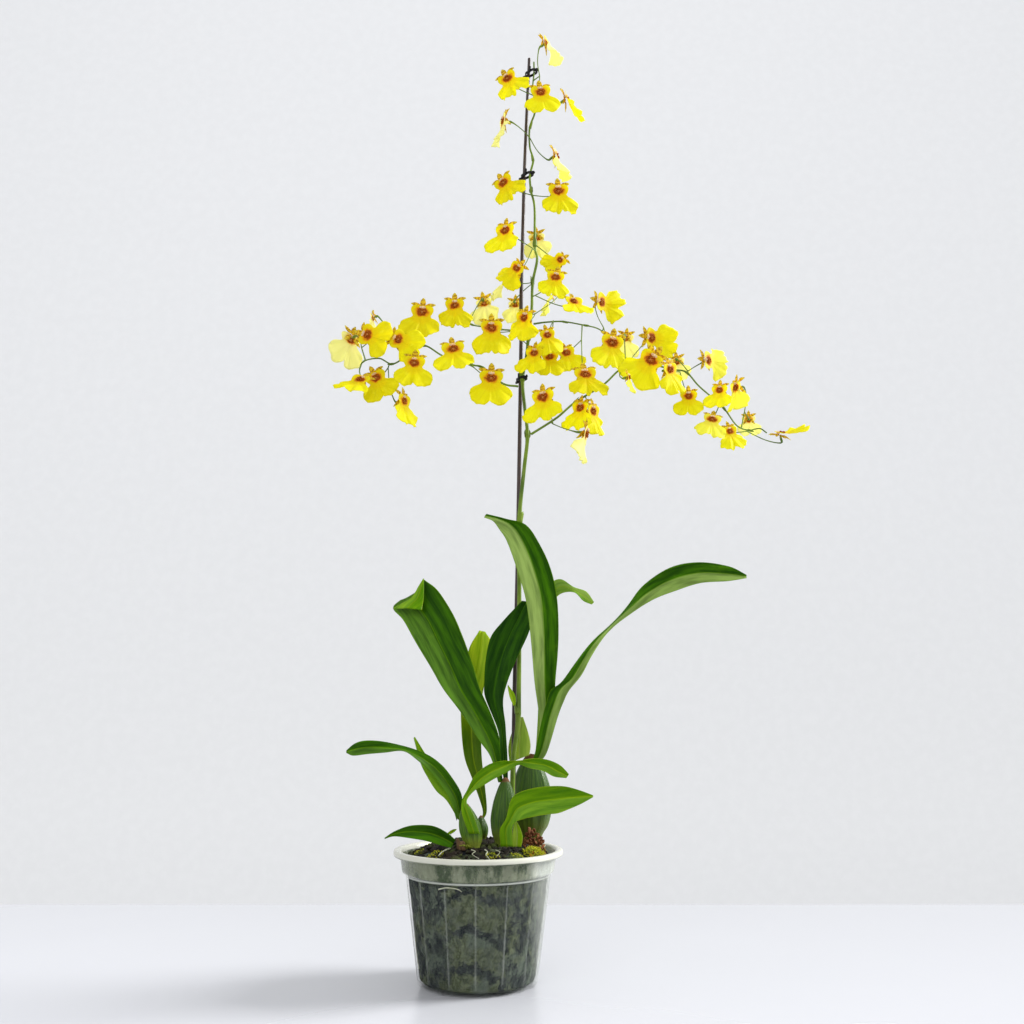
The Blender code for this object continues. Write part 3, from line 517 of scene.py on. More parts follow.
def scatter_tree():
    """Small shapes strewn over the base's faces, laid flat and turned at random."""
    tree, given = start_tree("strewn_over", {
        "Shapes": ("Collection", None), "Spacing": ("Float", 0.004), "Most": ("Float", 60000.0),
        "Smallest": ("Float", 0.6), "Largest": ("Float", 1.2), "Tilt": ("Float", 0.4),
        "Seed": ("Int", 1), "Finish": ("Material", None)})
    spots = put(tree, "GeometryNodeDistributePointsOnFaces", {
        "Mesh": given.outputs["Geometry"], "Distance Min": given.outputs["Spacing"],
        "Density Max": given.outputs["Most"], "Seed": given.outputs["Seed"]}, distribute_method="POISSON")
    shapes = put(tree, "GeometryNodeCollectionInfo", {
        "Collection": given.outputs["Shapes"], "Separate Children": True, "Reset Children": True})
    back = maths(tree, "MULTIPLY", given.outputs["Tilt"], -1.0)
    low = put(tree, "ShaderNodeCombineXYZ", {0: back, 1: back, 2: 0.0})
    high = put(tree, "ShaderNodeCombineXYZ", {0: given.outputs["Tilt"], 1: given.outputs["Tilt"], 2: math.tau})
    spin = put(tree, "FunctionNodeRandomValue", {
        0: low.outputs[0], 1: high.outputs[0], "Seed": given.outputs["Seed"]}, data_type="FLOAT_VECTOR")
    size = put(tree, "FunctionNodeRandomValue", {
        2: given.outputs["Smallest"], 3: given.outputs["Largest"], "Seed": given.outputs["Seed"]}, data_type="FLOAT")
    shade = put(tree, "FunctionNodeRandomValue", {2: 0.0, 3: 1.0, "Seed": 7}, data_type="FLOAT")
    placed = put(tree, "GeometryNodeInstanceOnPoints", {
        "Points": spots.outputs["Points"], "Instance": shapes.outputs[0], "Pick Instance": True,
        "Rotation": spots.outputs["Rotation"], "Scale": size.outputs[1]})
    turned = put(tree, "GeometryNodeRotateInstances", {
        "Instances": placed.outputs[0], "Rotation": spin.outputs[0]})
    marked = put(tree, "GeometryNodeStoreNamedAttribute", {
        "Geometry": turned.outputs[0], "Name": "shade", "Value": shade.outputs[1]},
        data_type="FLOAT", domain="INSTANCE")
    end_tree(tree, marked.outputs[0], given.outputs["Finish"])
    return tree


STEM_TREE = stem_tree()
SPRAY_TREE = spray_tree()
SCATTER_TREE = scatter_tree()


def make_stems(name, lines, finish, sides=10):
    """Round stems through lists of (place in millimetres, radius in millimetres)."""
    form = bmesh.new()
    radii = []
    for line in lines:
        corners = []
        for point, radius in line:
            corners.append(form.verts.new(Vector(point) * MM))
            radii.append(radius * MM)
        for first, second in zip(corners, corners[1:]):
            form.edges.new((first, second))
    mesh = bpy.data.meshes.new(name + "_line")
    form.to_mesh(mesh)
    form.free()
    set_values(mesh, "thickness", "FLOAT", radii)
    return grow(name, in_scene(name + "_line", mesh), STEM_TREE, {"Sides": sides, "Finish": finish})


def set_aside(name, shapes):
    """Puts shapes in a collection that the scatter tree picks from."""
    group = bpy.data.collections.new(name)
    bpy.context.scene.collection.children.link(group)
    for shape in shapes:
        group.objects.link(shape)
        bpy.context.scene.collection.objects.unlink(shape)
    return group


def clear_away(group):
    """Removes a collection and the shapes in it."""
    for shape in list(group.objects):
        bpy.data.objects.remove(shape, do_unlink=True)
    bpy.data.collections.remove(group)


# ---------------------------------------------------------------- finishes


def petal_finish():
    """Yellow lip with a red-brown throat, and small sepals barred with brown."""
    material, tree, shader = new_finish("petal_yellow", 0.55, 0.15)
    across, height, part = split(tree, attribute(tree, "petal"))
    # shade: each flower's own tone of yellow, with painted light added: paler to the right and for flowers seen from
    # the side or the back.
    shade = attribute(tree, "shade", "Fac")
    cloud = noise_on(tree, object_place(tree), 320, 3)
    fine = noise_on(tree, object_place(tree), 1400, 3)

    up = maths(tree, "ADD", height, 3.0)
    fan = maths(tree, "ARCTAN2", across, up)
    reach = maths(tree, "SQRT", maths(tree, "ADD", maths(tree, "POWER", across, 2), maths(tree, "POWER", up, 2)))
    spokes = put(tree, "ShaderNodeCombineXYZ", {0: maths(tree, "MULTIPLY", fan, 9.0), 1: reach, 2: shade})
    veins = noise_on(tree, stretch(tree, spokes.outputs[0], (1.6, 0.07, 5.0)), 2.0, 2)
    yellow = tint(tree, shade, (0.84, 0.76, 0.0), (1.0, 0.99, 0.010))
    yellow = tint(tree, ramp(tree, veins, 0.45, 0.75, 0, 0.35), yellow, (0.76, 0.66, 0.0))
    yellow = tint(tree, ramp(tree, cloud, 0.5, 0.8, 0, 0.5), yellow, (1.0, 0.97, 0.05))
    # The yellow deepens towards the waist: a deeper vein colour there, with painted shade where the skirt folds in.
    yellow = tint(tree, ramp(tree, reach, 11.0, 6.0, 0, 0.5), yellow, (0.90, 0.70, 0.0))
    hem = ramp(tree, reach, 13.0, 21.0, 0, 0.3)
    yellow = tint(tree, hem, yellow, (1.0, 0.95, 0.02))

    # Painted light: the palest flowers wash out to cream, as if lit through or caught in strong light.
    painted_light_cream = tint(tree, ramp(tree, shade, 0.9, 1.0), (1.0, 0.985, 0.22), (1.0, 0.98, 0.52))
    yellow = tint(tree, ramp(tree, shade, 0.72, 1.0, 0, 0.8), yellow, painted_light_cream)

    wide = maths(tree, "POWER", maths(tree, "DIVIDE", across, 4.6), 2)
    tall = maths(tree, "POWER", maths(tree, "DIVIDE", maths(tree, "ADD", height, 0.9), 3.5), 2)
    far = maths(tree, "SQRT", maths(tree, "ADD", wide, tall))
    far = maths(tree, "ADD", far, maths(tree, "MULTIPLY", maths(tree, "SUBTRACT", cloud, 0.5), 1.1))
    lip = tint(tree, ramp(tree, far, 1.4, 0.85), yellow, (0.90, 0.42, 0.006))
    lip = tint(tree, ramp(tree, far, 1.05, 0.75), lip, (0.50, 0.115, 0.006))
    lip = tint(tree, ramp(tree, far, 0.5, 0.25, 0, 0.8), lip, (0.90, 0.52, 0.16))

    bars = maths(tree, "SINE", maths(tree, "ADD", maths(tree, "MULTIPLY", across, 19.0),
                                    maths(tree, "MULTIPLY", cloud, 15.0)))
    bars = maths(tree, "MULTIPLY", ramp(tree, bars, -0.2, 0.9, 0, 0.75), ramp(tree, across, 0.95, 0.6, 0.15, 1))
    small = tint(tree, ramp(tree, across, 0.2, 1.0), (0.92, 0.68, 0.03), (0.78, 0.66, 0.05))
    small = tint(tree, bars, small, (0.42, 0.18, 0.012))

    column = tint(tree, ramp(tree, cloud, 0.4, 0.6), (1.0, 0.88, 0.62), (0.98, 0.74, 0.42))
    knobs = tint(tree, ramp(tree, fine, 0.4, 0.6), (0.72, 0.27, 0.02), (0.32, 0.05, 0.005))
    neck = tint(tree, ramp(tree, cloud, 0.35, 0.65), (0.30, 0.36, 0.04), (0.48, 0.47, 0.08))
    colour = lip
    for number, look in ((1.0, small), (2.0, column), (3.0, knobs), (4.0, neck)):
        colour = tint(tree, maths(tree, "COMPARE", part, number, 0.4), colour, look)
    wire(tree, colour, shader.inputs["Base Color"])
    bump(tree, shader, maths(tree, "ADD", veins, maths(tree, "MULTIPLY", fine, 0.3)), 0.35, 0.0006)
    let_light_through(tree, shader, colour, 0.5)
    return material


# The colour of the painted sheen on the lit half of a leaf.
PAINTED_SHEEN = (0.45, 0.61, 0.16)


def leaf_finish(name, deep, bright, edge, painted_light_halves=(0, 0), dusk=(-2, -1), glow=0.22):
    """Waxy strap leaf: fine lengthwise veins, a groove down the middle, paler margins, each half lighter with a
    painted sheen or darker with painted shade, and painted shade near the foot, up to the distances in dusk."""
    material, tree, shader = new_finish(name, 0.32, 0.05)
    side, along, width = split(tree, attribute(tree, "blade"))
    spread = maths(tree, "MULTIPLY", side, width)
    lines = put(tree, "ShaderNodeCombineXYZ", {0: maths(tree, "MULTIPLY", spread, 1.35), 1: along, 2: 0.0})
    veins = noise_on(tree, stretch(tree, lines.outputs[0], (1.0, 0.012, 1.0)), 1.0, 3, 0.7)
    broad = noise_on(tree, stretch(tree, lines.outputs[0], (0.16, 0.022, 1.0)), 1.0, 3)
    blotch = noise_on(tree, object_place(tree), 55, 4)
    colour = tint(tree, ramp(tree, broad, 0.35, 0.68), deep, bright)
    colour = tint(tree, ramp(tree, veins, 0.42, 0.7, 0, 0.42), colour, bright)
    colour = tint(tree, ramp(tree, veins, 0.5, 0.3, 0, 0.35), colour, [channel * 0.55 for channel in deep])
    colour = tint(tree, ramp(tree, blotch, 0.6, 0.75, 0, 0.25), colour, edge)
    # Painted light on each half: a painted sheen where the value is above nought, painted shade where it is below.
    half = ramp(tree, side, -0.1, 0.1, *painted_light_halves)
    painted_sheen_share = maths(tree, "MULTIPLY", maths(tree, "MAXIMUM", half, 0.0), ramp(tree, broad, 0.3, 0.65, 0.45, 1.0))
    colour = tint(tree, painted_sheen_share, colour, PAINTED_SHEEN)
    colour = tint(tree, maths(tree, "MAXIMUM", maths(tree, "MULTIPLY", half, -1.0), 0.0), colour,
                  [channel * 0.35 for channel in deep])
    # Painted shade near the foot of the leaf.
    colour = tint(tree, ramp(tree, along, *dusk, 0.85, 0), colour, (0.016, 0.07, 0.003))
    reach = maths(tree, "ABSOLUTE", side)
    rib = ramp(tree, maths(tree, "MULTIPLY", reach, width), 0.75, 0.2)
    colour = tint(tree, maths(tree, "MULTIPLY", rib, 0.3), colour, edge)
    colour = tint(tree, ramp(tree, reach, 0.94, 0.995, 0, 0.6), colour, edge)
    wire(tree, colour, shader.inputs["Base Color"])
    wire(tree, ramp(tree, blotch, 0.3, 0.7, 0.28, 0.42), shader.inputs["Roughness"])
    relief = maths(tree, "SUBTRACT", maths(tree, "MULTIPLY", veins, 0.5), maths(tree, "MULTIPLY", rib, 0.8))
    bump(tree, shader, relief, 0.5, 0.0006)
    let_light_through(tree, shader, tint(tree, 0.5, colour, edge), glow)
    return material


def stem_finish():
    """Green flower stem, a little mottled, with fine lengthwise streaks."""
    material, tree, shader = new_finish("stem_green", 0.4, 0.2)
    streak = noise_on(tree, stretch(tree, object_place(tree), (900, 900, 60)), 1.0, 3)
    patch = noise_on(tree, object_place(tree), 45, 3)
    colour = tint(tree, ramp(tree, patch, 0.3, 0.7), (0.060, 0.115, 0.008), (0.17, 0.26, 0.022))
    colour = tint(tree, ramp(tree, streak, 0.5, 0.8, 0, 0.4), colour, (0.30, 0.36, 0.09))
    wire(tree, colour, shader.inputs["Base Color"])
    bump(tree, shader, streak, 0.3, 0.0003)
    return material


def bulb_finish():
    """Pseudobulb: upright ribs and streaks, yellower at the foot, a dry scar at the top."""
    material, tree, shader = new_finish("pseudobulb_green", 0.36, 0.22)
    share, turn, dark = split(tree, attribute(tree, "bulb"))
    lines = put(tree, "ShaderNodeCombineXYZ", {0: maths(tree, "MULTIPLY", turn, 9.0), 1: share, 2: dark})
    streak = noise_on(tree, stretch(tree, lines.outputs[0], (1.0, 1.2, 3.0)), 1.6, 4, 0.65)
    spot = noise_on(tree, object_place(tree), 240, 4)
    colour = tint(tree, ramp(tree, streak, 0.35, 0.65), (0.018, 0.065, 0.003), (0.095, 0.20, 0.010))
    colour = tint(tree, ramp(tree, share, 0.3, 0.0, 0, 0.6), colour, (0.30, 0.33, 0.05))
    # Painted shade: the whole bulb darker by the last value of its entry.
    colour = tint(tree, dark, colour, (0.012, 0.035, 0.003))
    colour = tint(tree, ramp(tree, spot, 0.66, 0.76, 0, 0.6), colour, (0.12, 0.07, 0.02))
    scar = ramp(tree, maths(tree, "ADD", share, maths(tree, "MULTIPLY", spot, 0.05)), 0.955, 0.985)
    colour = tint(tree, scar, colour, (0.13, 0.06, 0.022))
    wire(tree, colour, shader.inputs["Base Color"])
    wire(tree, ramp(tree, scar, 0.0, 1.0, 0.34, 0.85), shader.inputs["Roughness"])
    bump(tree, shader, maths(tree, "ADD", streak, maths(tree, "MULTIPLY", spot, 0.3)), 0.5, 0.0008)
    return material


def bark_finish(name, dark, middle, light, green=0.0):
    """Rough chips and fibres, each chip its own shade, with algae where green is over nothing."""
    material, tree, shader = new_finish(name, 0.85, 0.25)
    place = object_place(tree)
    shade = attribute(tree, "shade", "Fac")
    grain = noise_on(tree, stretch(tree, place, (1.0, 0.35, 1.0)), 900, 5, 0.7)
    patch = noise_on(tree, place, 70, 4)
    colour = tint(tree, shade, dark, middle)
    colour = tint(tree, ramp(tree, grain, 0.5, 0.75, 0, 0.7), colour, light)
    colour = tint(tree, ramp(tree, grain, 0.45, 0.25, 0, 0.7), colour, [channel * 0.4 for channel in dark])
    if green:
        colour = tint(tree, ramp(tree, patch, 0.5, 0.68, 0, green), colour, (0.085, 0.12, 0.02))
    wire(tree, colour, shader.inputs["Base Color"])
    bump(tree, shader, grain, 0.8, 0.0012)
    return material


def packed_mix_finish():
    """The mix against the wall: olive algae in front, slanting wedges of shade, dark mottles at the sides."""
    material, tree, shader = new_finish("packed_bark_mix", 0.95, 0.1)
    place = object_place(tree)
    bend = put(tree, "ShaderNodeTexNoise", {"Vector": place, "Scale": 140.0, "Detail": 8.0, "Roughness": 0.75})
    warp = put(tree, "ShaderNodeVectorMath", {0: bend.outputs["Color"], 3: 0.022}, operation="SCALE")
    moved = put(tree, "ShaderNodeVectorMath", {0: place, 1: warp.outputs[0]}, operation="ADD").outputs[0]
    side, _, up = split(tree, moved)
    side = maths(tree, "ADD", maths(tree, "MULTIPLY", side, 1000.0), -11.0)
    up = maths(tree, "MULTIPLY", up, 1000.0)
    mottle = noise_on(tree, stretch(tree, moved, (1.0, 1.0, 0.6)), 150, 8, 0.76)
    fine = noise_on(tree, moved, 300, 6, 0.75)
    patch = noise_on(tree, place, 40, 3)
    slant = maths(tree, "ABSOLUTE", maths(tree, "ADD", side, 5.0))
    climb = maths(tree, "ADD", up, maths(tree, "MULTIPLY", slant, 0.55))
    wedge = maths(tree, "SINE", maths(tree, "MULTIPLY", climb, 0.235))
    wedge = maths(tree, "ADD", wedge, maths(tree, "MULTIPLY", maths(tree, "SUBTRACT", mottle, 0.5), 3.2))
    middle = ramp(tree, maths(tree, "ABSOLUTE", side), 26.0, 12.0)
    dark = tint(tree, middle, ramp(tree, mottle, 0.47, 0.52), ramp(tree, wedge, 0.5, 0.8))
    olive = tint(tree, ramp(tree, fine, 0.38, 0.62), (0.033, 0.043, 0.017), (0.145, 0.165, 0.095))
    olive = tint(tree, ramp(tree, patch, 0.5, 0.62, 0, 0.7), olive, (0.10, 0.125, 0.10))
    olive = tint(tree, ramp(tree, mottle, 0.58, 0.7, 0, 0.8), olive, (0.055, 0.095, 0.018))
    navy = tint(tree, ramp(tree, fine, 0.4, 0.7), (0.004, 0.006, 0.010), (0.028, 0.032, 0.034))
    speck = ramp(tree, noise_on(tree, stretch(tree, moved, (1.0, 1.0, 0.7)), 420, 6, 0.75), 0.5, 0.56, 0, 0.65)
    olive = tint(tree, speck, olive, (0.012, 0.016, 0.016))
    wire(tree, tint(tree, dark, olive, navy), shader.inputs["Base Color"])
    bump(tree, shader, mottle, 0.35, 0.0008)
    return material


def moss_finish(name, dark, light):
    material, tree, shader = new_finish(name, 0.8, 0.2)
    shade = attribute(tree, "shade", "Fac")
    patch = noise_on(tree, object_place(tree), 300, 3)
    colour = tint(tree, shade, dark, light)
    colour = tint(tree, ramp(tree, patch, 0.5, 0.75, 0, 0.5), colour, [channel * 1.25 for channel in light])
    wire(tree, colour, shader.inputs["Base Color"])
    let_light_through(tree, shader, colour, 0.25)
    return material


def clear_pot_finish():
    """Clear plastic gone a little milky: cream on the lip, with a film of algae inside the wall."""
    material, tree, shader = new_finish("clear_milky_plastic", 0.2, 0.5, 0.1)
    place = object_place(tree)
    height = maths(tree, "MULTIPLY", split(tree, place)[2], 1000.0)
    rib = attribute(tree, "rib", "Fac")
    cloud = noise_on(tree, stretch(tree, place, (1.0, 1.0, 0.5)), 52, 6, 0.65)
    wisps = noise_on(tree, stretch(tree, place, (1.0, 1.0, 0.5)), 170, 6, 0.7)
    scuffs = noise_on(tree, stretch(tree, place, (1.0, 1.0, 5.0)), 420, 4, 0.7)
    lip = ramp(tree, height, 92.6, 93.4)
    # Painted light: the right side of the pot paler and milkier, where the window light falls on it.
    painted_light_right = ramp(tree, maths(tree, "MULTIPLY", split(tree, place)[0], 1000.0), 36.0, 50.0)
    edge = ramp(tree, maths(tree, "ABSOLUTE", maths(tree, "SUBTRACT", height, 78.3)), 0.9, 0.4)
    band = ramp(tree, height, 78.0, 80.2)
    film = maths(tree, "MULTIPLY", ramp(tree, cloud, 0.44, 0.66), ramp(tree, wisps, 0.4, 0.62))
    colour = tint(tree, film, (0.20, 0.235, 0.20), (0.035, 0.050, 0.030))
    blotch = maths(tree, "MULTIPLY", ramp(tree, cloud, 0.42, 0.56), ramp(tree, wisps, 0.32, 0.5))
    colour = tint(tree, band, colour, tint(tree, blotch, (0.22, 0.245, 0.16), (0.036, 0.062, 0.020)))
    colour = tint(tree, maths(tree, "MAXIMUM", maths(tree, "MULTIPLY", painted_light_right, 0.7), edge), colour, (0.66, 0.69, 0.62))
    colour = tint(tree, rib, colour, (0.42, 0.45, 0.40))
    colour = tint(tree, lip, colour, (0.60, 0.60, 0.51))
    wire(tree, colour, shader.inputs["Base Color"])
    see = ramp(tree, wisps, 0.45, 0.7, 0.03, 0.12)
    see = maths(tree, "ADD", see, maths(tree, "MULTIPLY", film, 0.25))
    see = maths(tree, "ADD", see, maths(tree, "MULTIPLY", rib, 0.22))
    see = maths(tree, "ADD", see, maths(tree, "MULTIPLY", painted_light_right, 0.18))
    see = maths(tree, "MAXIMUM", see, maths(tree, "MULTIPLY", edge, 0.5))
    see = maths(tree, "MAXIMUM", see, maths(tree, "MULTIPLY", band, ramp(tree, wisps, 0.4, 0.65, 0.7, 0.9)))
    see = maths(tree, "MAXIMUM", see, maths(tree, "MULTIPLY", lip, 0.94))
    wire(tree, see, shader.inputs["Alpha"])
    wire(tree, ramp(tree, scuffs, 0.45, 0.75, 0.16, 0.4), shader.inputs["Roughness"])
    bump(tree, shader, scuffs, 0.12, 0.0004)
    return material


def simple_finish(name, dark, light, scale, roughness, height=0.0004, stretched=(1.0, 1.0, 1.0), specular=0.5):
    """Two close shades in a fine grain, with a matching relief."""
    material, tree, shader = new_finish(name, roughness, specular)
    grain = noise_on(tree, stretch(tree, object_place(tree), stretched), scale, 4, 0.6)
    wire(tree, tint(tree, ramp(tree, grain, 0.35, 0.7), dark, light), shader.inputs["Base Color"])
    wire(tree, ramp(tree, grain, 0.3, 0.7, roughness - 0.08, roughness + 0.1), shader.inputs["Roughness"])
    bump(tree, shader, grain, 0.4, height)
    return material


PETAL = petal_finish()
STEM = stem_finish()
BULB = bulb_finish()
BARK = bark_finish("bark_chips", (0.005, 0.004, 0.003), (0.022, 0.015, 0.009), (0.065, 0.050, 0.030), 0.7)
RED_BARK = bark_finish("red_bark", (0.10, 0.028, 0.010), (0.24, 0.085, 0.030), (0.36, 0.17, 0.07))
ORANGE_BARK = bark_finish("orange_bark", (0.30, 0.085, 0.010), (0.60, 0.24, 0.025), (0.72, 0.42, 0.10))
MIX = packed_mix_finish()
MOSS = moss_finish("moss_green", (0.17, 0.22, 0.008), (0.72, 0.70, 0.04))
TUFT = moss_finish("tuft_green", (0.24, 0.28, 0.03), (0.55, 0.55, 0.10))
POT = clear_pot_finish()
COATED = simple_finish("brown_coating", (0.018, 0.008, 0.006), (0.050, 0.024, 0.018), 700, 0.42, 0.0003, (1, 1, 0.15))
CLIP = simple_finish(
    "black_clip_plastic", (0.002, 0.002, 0.002), (0.006, 0.006, 0.007), 900, 0.5, 0.0002, specular=0.25)
ROOT = simple_finish("pale_root", (0.36, 0.38, 0.24), (0.70, 0.70, 0.56), 420, 0.6, 0.0004)
HUSK = simple_finish("dry_husk", (0.07, 0.035, 0.012), (0.24, 0.14, 0.055), 380, 0.7, 0.0006, (3, 3, 0.4))

# ---------------------------------------------------------------- leaves


def blade(name, stations, fold, finish, ripple=0.4, thickness=0.9, seed=0, steps=6, columns=14):
    """A strap leaf lofted between its two margins: thin at the edges, keeled in the middle, gently rippled."""
    left_line = smooth_line([left for left, right in stations], steps)
    right_line = smooth_line([right for left, right in stations], steps)
    middles = [(left + right) / 2 for left, right in zip(left_line, right_line)]
    form = bmesh.new()
    layer = form.verts.layers.float_vector.new("blade")
    rings = []
    run = 0.0
    last = len(middles) - 1
    for index, (left, right, middle) in enumerate(zip(left_line, right_line, middles)):
        before = middles[max(index - 1, 0)]
        after = middles[min(index + 1, last)]
        run += (middle - before).length
        across = right - left
        width = across.length
        face = across.cross(after - before).normalized()
        upper, lower = [], []
        for column in range(columns + 1):
            side = 2 * column / columns - 1
            reach = abs(side)
            depth = fold * width * (1 - reach**1.35)
            edge_wave = ripple * reach**2.5 * wave(run / 16, side * 1.5, seed) * min(1, width / 8)
            centre = middle + across * side / 2 - face * (depth - 1.6 * edge_wave)
            half = max(0.14, thickness * 0.5 * (1 - 0.72 * reach**2))
            groove = 0.22 * max(0.0, 1 - reach * width / 1.6)
            for row, lift in ((upper, half - groove), (lower, -half - groove)):
                corner = form.verts.new(centre + face * lift)
                corner[layer] = (side, run, width / 2)
                row.append(corner)
        rings.append([*upper, *reversed(lower)])
    join_rings(form, rings)
    for ring in (rings[0], rings[-1]):
        count = len(ring)
        for index in range(count // 2 - 1):
            form.faces.new((ring[index], ring[index + 1], ring[count - 2 - index], ring[count - 1 - index]))
    return make_object(name, form, finish)


DEEP = (0.012, 0.060, 0.001)
MID = (0.067, 0.212, 0.002)
FRESH = (0.190, 0.385, 0.004)
LIME = (0.420, 0.570, 0.012)

# Each leaf: deep, bright and margin colours, fold, ripple, painted light on its left and right halves (a painted
# sheen above nought, painted shade below), and for some the stretch from the foot over which painted shade fades.
LEAF_LOOKS = {
    "leaf_big_left": (DEEP, MID, FRESH, 0.16, 0.5, (0.12, -0.3)),
    "leaf_slim_rear": ((0.28, 0.50, 0.006), (0.56, 0.72, 0.02), LIME, 0.12, 0.9, (-0.1, 0.1), (60, 105)),
    "leaf_dark": ((0.006, 0.036, 0.002), (0.030, 0.110, 0.003), MID, 0.16, 0.9, (-0.1, 0.0)),
    "leaf_tall": (DEEP, MID, FRESH, 0.16, 0.3, (0.85, -0.1)),
    "leaf_right": (DEEP, MID, FRESH, 0.12, 0.3, (-0.1, 0.6)),
    "leaf_behind": (MID, FRESH, LIME, 0.12, 0.3, (0.5, 0.3)),
    "leaf_front_arch": (MID, FRESH, LIME, 0.16, 0.3, (-0.2, 0.1)),
    "leaf_front_right": (MID, (0.21, 0.42, 0.004), LIME, 0.16, 0.3, (-0.25, 0.12)),
    "leaf_lower_left": (DEEP, MID, FRESH, 0.16, 0.3, (0.1, -0.1)),
    "leaf_pointed": (MID, FRESH, LIME, 0.16, 0.3, (0.1, -0.2)),
    "leaf_low_left": (DEEP, MID, FRESH, 0.16, 0.3, (0.0, -0.3)),
    "sheath_front": (FRESH, LIME, (0.60, 0.62, 0.22), 0.2, 0.2, (0.3, 0)),
    "sheath_stem": (FRESH, LIME, (0.60, 0.62, 0.22), 0.1, 0.3, (0.3, 0.5)),
}
# Small blades that only show: the folded corner of a leaf, and a young tip beside the stem.
SMALL_BLADES = {
    "folded_tip": (((-47.6, 11, 308), (-46.8, 11, 308)), ((-51, 8, 301.5), (-46.4, 7, 299)),
                   ((-56, 5, 292), (-46.3, 4, 290)), ((-64.5, 2, 286.5), (-46.8, 2, 284.5)),
                   ((-70.5, -1, 282), (-47.1, 0, 281))),
    "young_tip": (((27, 2, 205), (29, 2, 205)), ((24, -1, 212), (28.5, 0, 213)), ((22.5, -3, 220), (23, -3, 221))),
}
# Each small blade gets a little painted sheen on its left half and painted shade on its right.
for number, (tip_name, stations) in enumerate(SMALL_BLADES.items()):
    look = leaf_finish(tip_name + "_green", (MID, FRESH)[number], (FRESH, LIME)[number], LIME, (0.1, -0.1))
    on_root(blade(tip_name, stations, 0.06, look, 0.2, 0.7, 5.0 + number, 5, 10), "leaves")
for number, (leaf_name, stations) in enumerate(LEAVES.items()):
    deep, bright, edge, fold, ripple, painted_light_halves, *dusk = LEAF_LOOKS[leaf_name]
    look = leaf_finish(leaf_name + "_green", deep, bright, edge, painted_light_halves, *dusk)
    leaf = blade("strap_" + leaf_name, stations, fold, look, ripple, 0.9, number * 3.7)
    on_root(leaf, "sheaths" if leaf_name.startswith("sheath") else "leaves", leaf_name)

# ---------------------------------------------------------------- flowers

# The lip's outline from the notch in its hem up one side to the top of the throat: (out, up).
LIP_OUTLINE = (
    (0.0, -19.6), (1.3, -21.2), (4.0, -22.8), (8.0, -22.8), (12.0, -20.8), (15.0, -17.0), (16.0, -12.8),
    (14.9, -9.3), (11.4, -7.0), (8.4, -5.8), (6.9, -4.2), (7.9, -2.4), (8.9, 0.2), (8.4, 2.8), (5.6, 4.4), (2.2, 4.2),
)
LIP_MIDDLE = (0.0, -3.6)
LIP_RINGS = (0.16, 0.34, 0.52, 0.68, 0.82, 0.92, 1.0)

# Each kind of flower: ruffle, droop of the hem, how far the sides fold back, lean of the skirt to one side, width.
FLOWER_KINDS = (
    (1.0, 1.0, 0.6, 0.0, 1.00), (1.3, 0.7, 1.2, 0.05, 0.97), (0.9, 1.3, 0.2, -0.06, 1.03),
    (1.4, 1.0, 0.9, 0.08, 0.94), (1.1, 0.6, 1.6, -0.03, 0.98), (1.2, 1.2, 0.4, -0.09, 1.0),
    (1.0, 0.9, 2.3, 0.0, 0.92), (1.5, 1.1, 0.8, 0.04, 1.04),
)

# Small petals: root (out, up), tip (out, up), half width, set back at the tip.
SMALL_PETALS = (
    ((0.0, 3.4), (0.2, 11.4), 2.3, 0.6), ((1.4, 4.2), (9.8, 6.8), 1.6, -0.4), ((-1.4, 4.2), (-9.8, 6.8), 1.6, -0.4),
    ((1.6, 1.6), (7.6, -6.6), 1.7, -3.6), ((-1.6, 1.6), (-7.6, -6.6), 1.7, -3.6),
)


def lip(form, layer, ruffle, droop, fold, lean, breadth, seed):
    """The ruffled skirt, narrow waist and side lobes, as one sheet round a point below the throat."""
    half = [(point[0], point[1]) for point in LIP_OUTLINE]
    outline = half + [(-out, up) for out, up in reversed(half[1:])]
    round_points = [Vector((out, up, 0)) for out, up in outline]
    count = len(round_points)
    smooth = []
    for index in range(count):
        before, start, end, after = (round_points[(index + step) % count] for step in (-1, 0, 1, 2))
        smooth.append(start)
        smooth.append(0.5625 * (start + end) - 0.0625 * (before + after))
    middle = Vector((*LIP_MIDDLE, 0))
    rings = []
    for share in LIP_RINGS:
        ring = []
        for index, rim in enumerate(smooth):
            spoke = rim - middle
            turn = math.atan2(spoke.x, -spoke.y)
            flat = middle + spoke * share
            skirt = max(0.0, min(1.0, (-flat.y - 4.0) / 8.0))
            frill = ruffle * skirt * share**2
            scallop = 0.45 * math.sin(11 * turn + seed) + 0.3 * math.sin(24 * turn + seed * 3)
            flat += spoke.normalized() * frill * scallop
            out = (flat.x + lean * flat.y * skirt) * breadth
            forward = 1.3 - 0.28 * droop * (flat.y + 4.0) * skirt
            forward -= fold * 0.017 * out * out * skirt
            ruffles = 1.4 * math.sin(9 * turn + seed * 2.1) + 0.8 * math.sin(22 * turn + seed)
            forward += frill * (ruffles + 0.8 * wave(out / 5, flat.y / 5, seed))
            forward += (1 - skirt) * (0.10 * abs(out) + 0.25 * max(0.0, flat.y))
            forward += 1.0 * math.exp(-(out**2 + (flat.y + 1.0)**2) / 9.0)
            forward -= 0.7 * skirt * math.exp(-(out / 1.6)**2)
            corner = form.verts.new((out, forward, flat.y))
            corner[layer] = (out, flat.y, 0)
            ring.append(corner)
        rings.append(ring)
    join_rings(form, rings)
    centre = cap(form, rings[0], (0, 2.0, LIP_MIDDLE[1]))
    centre[layer] = (0, LIP_MIDDLE[1], 0)


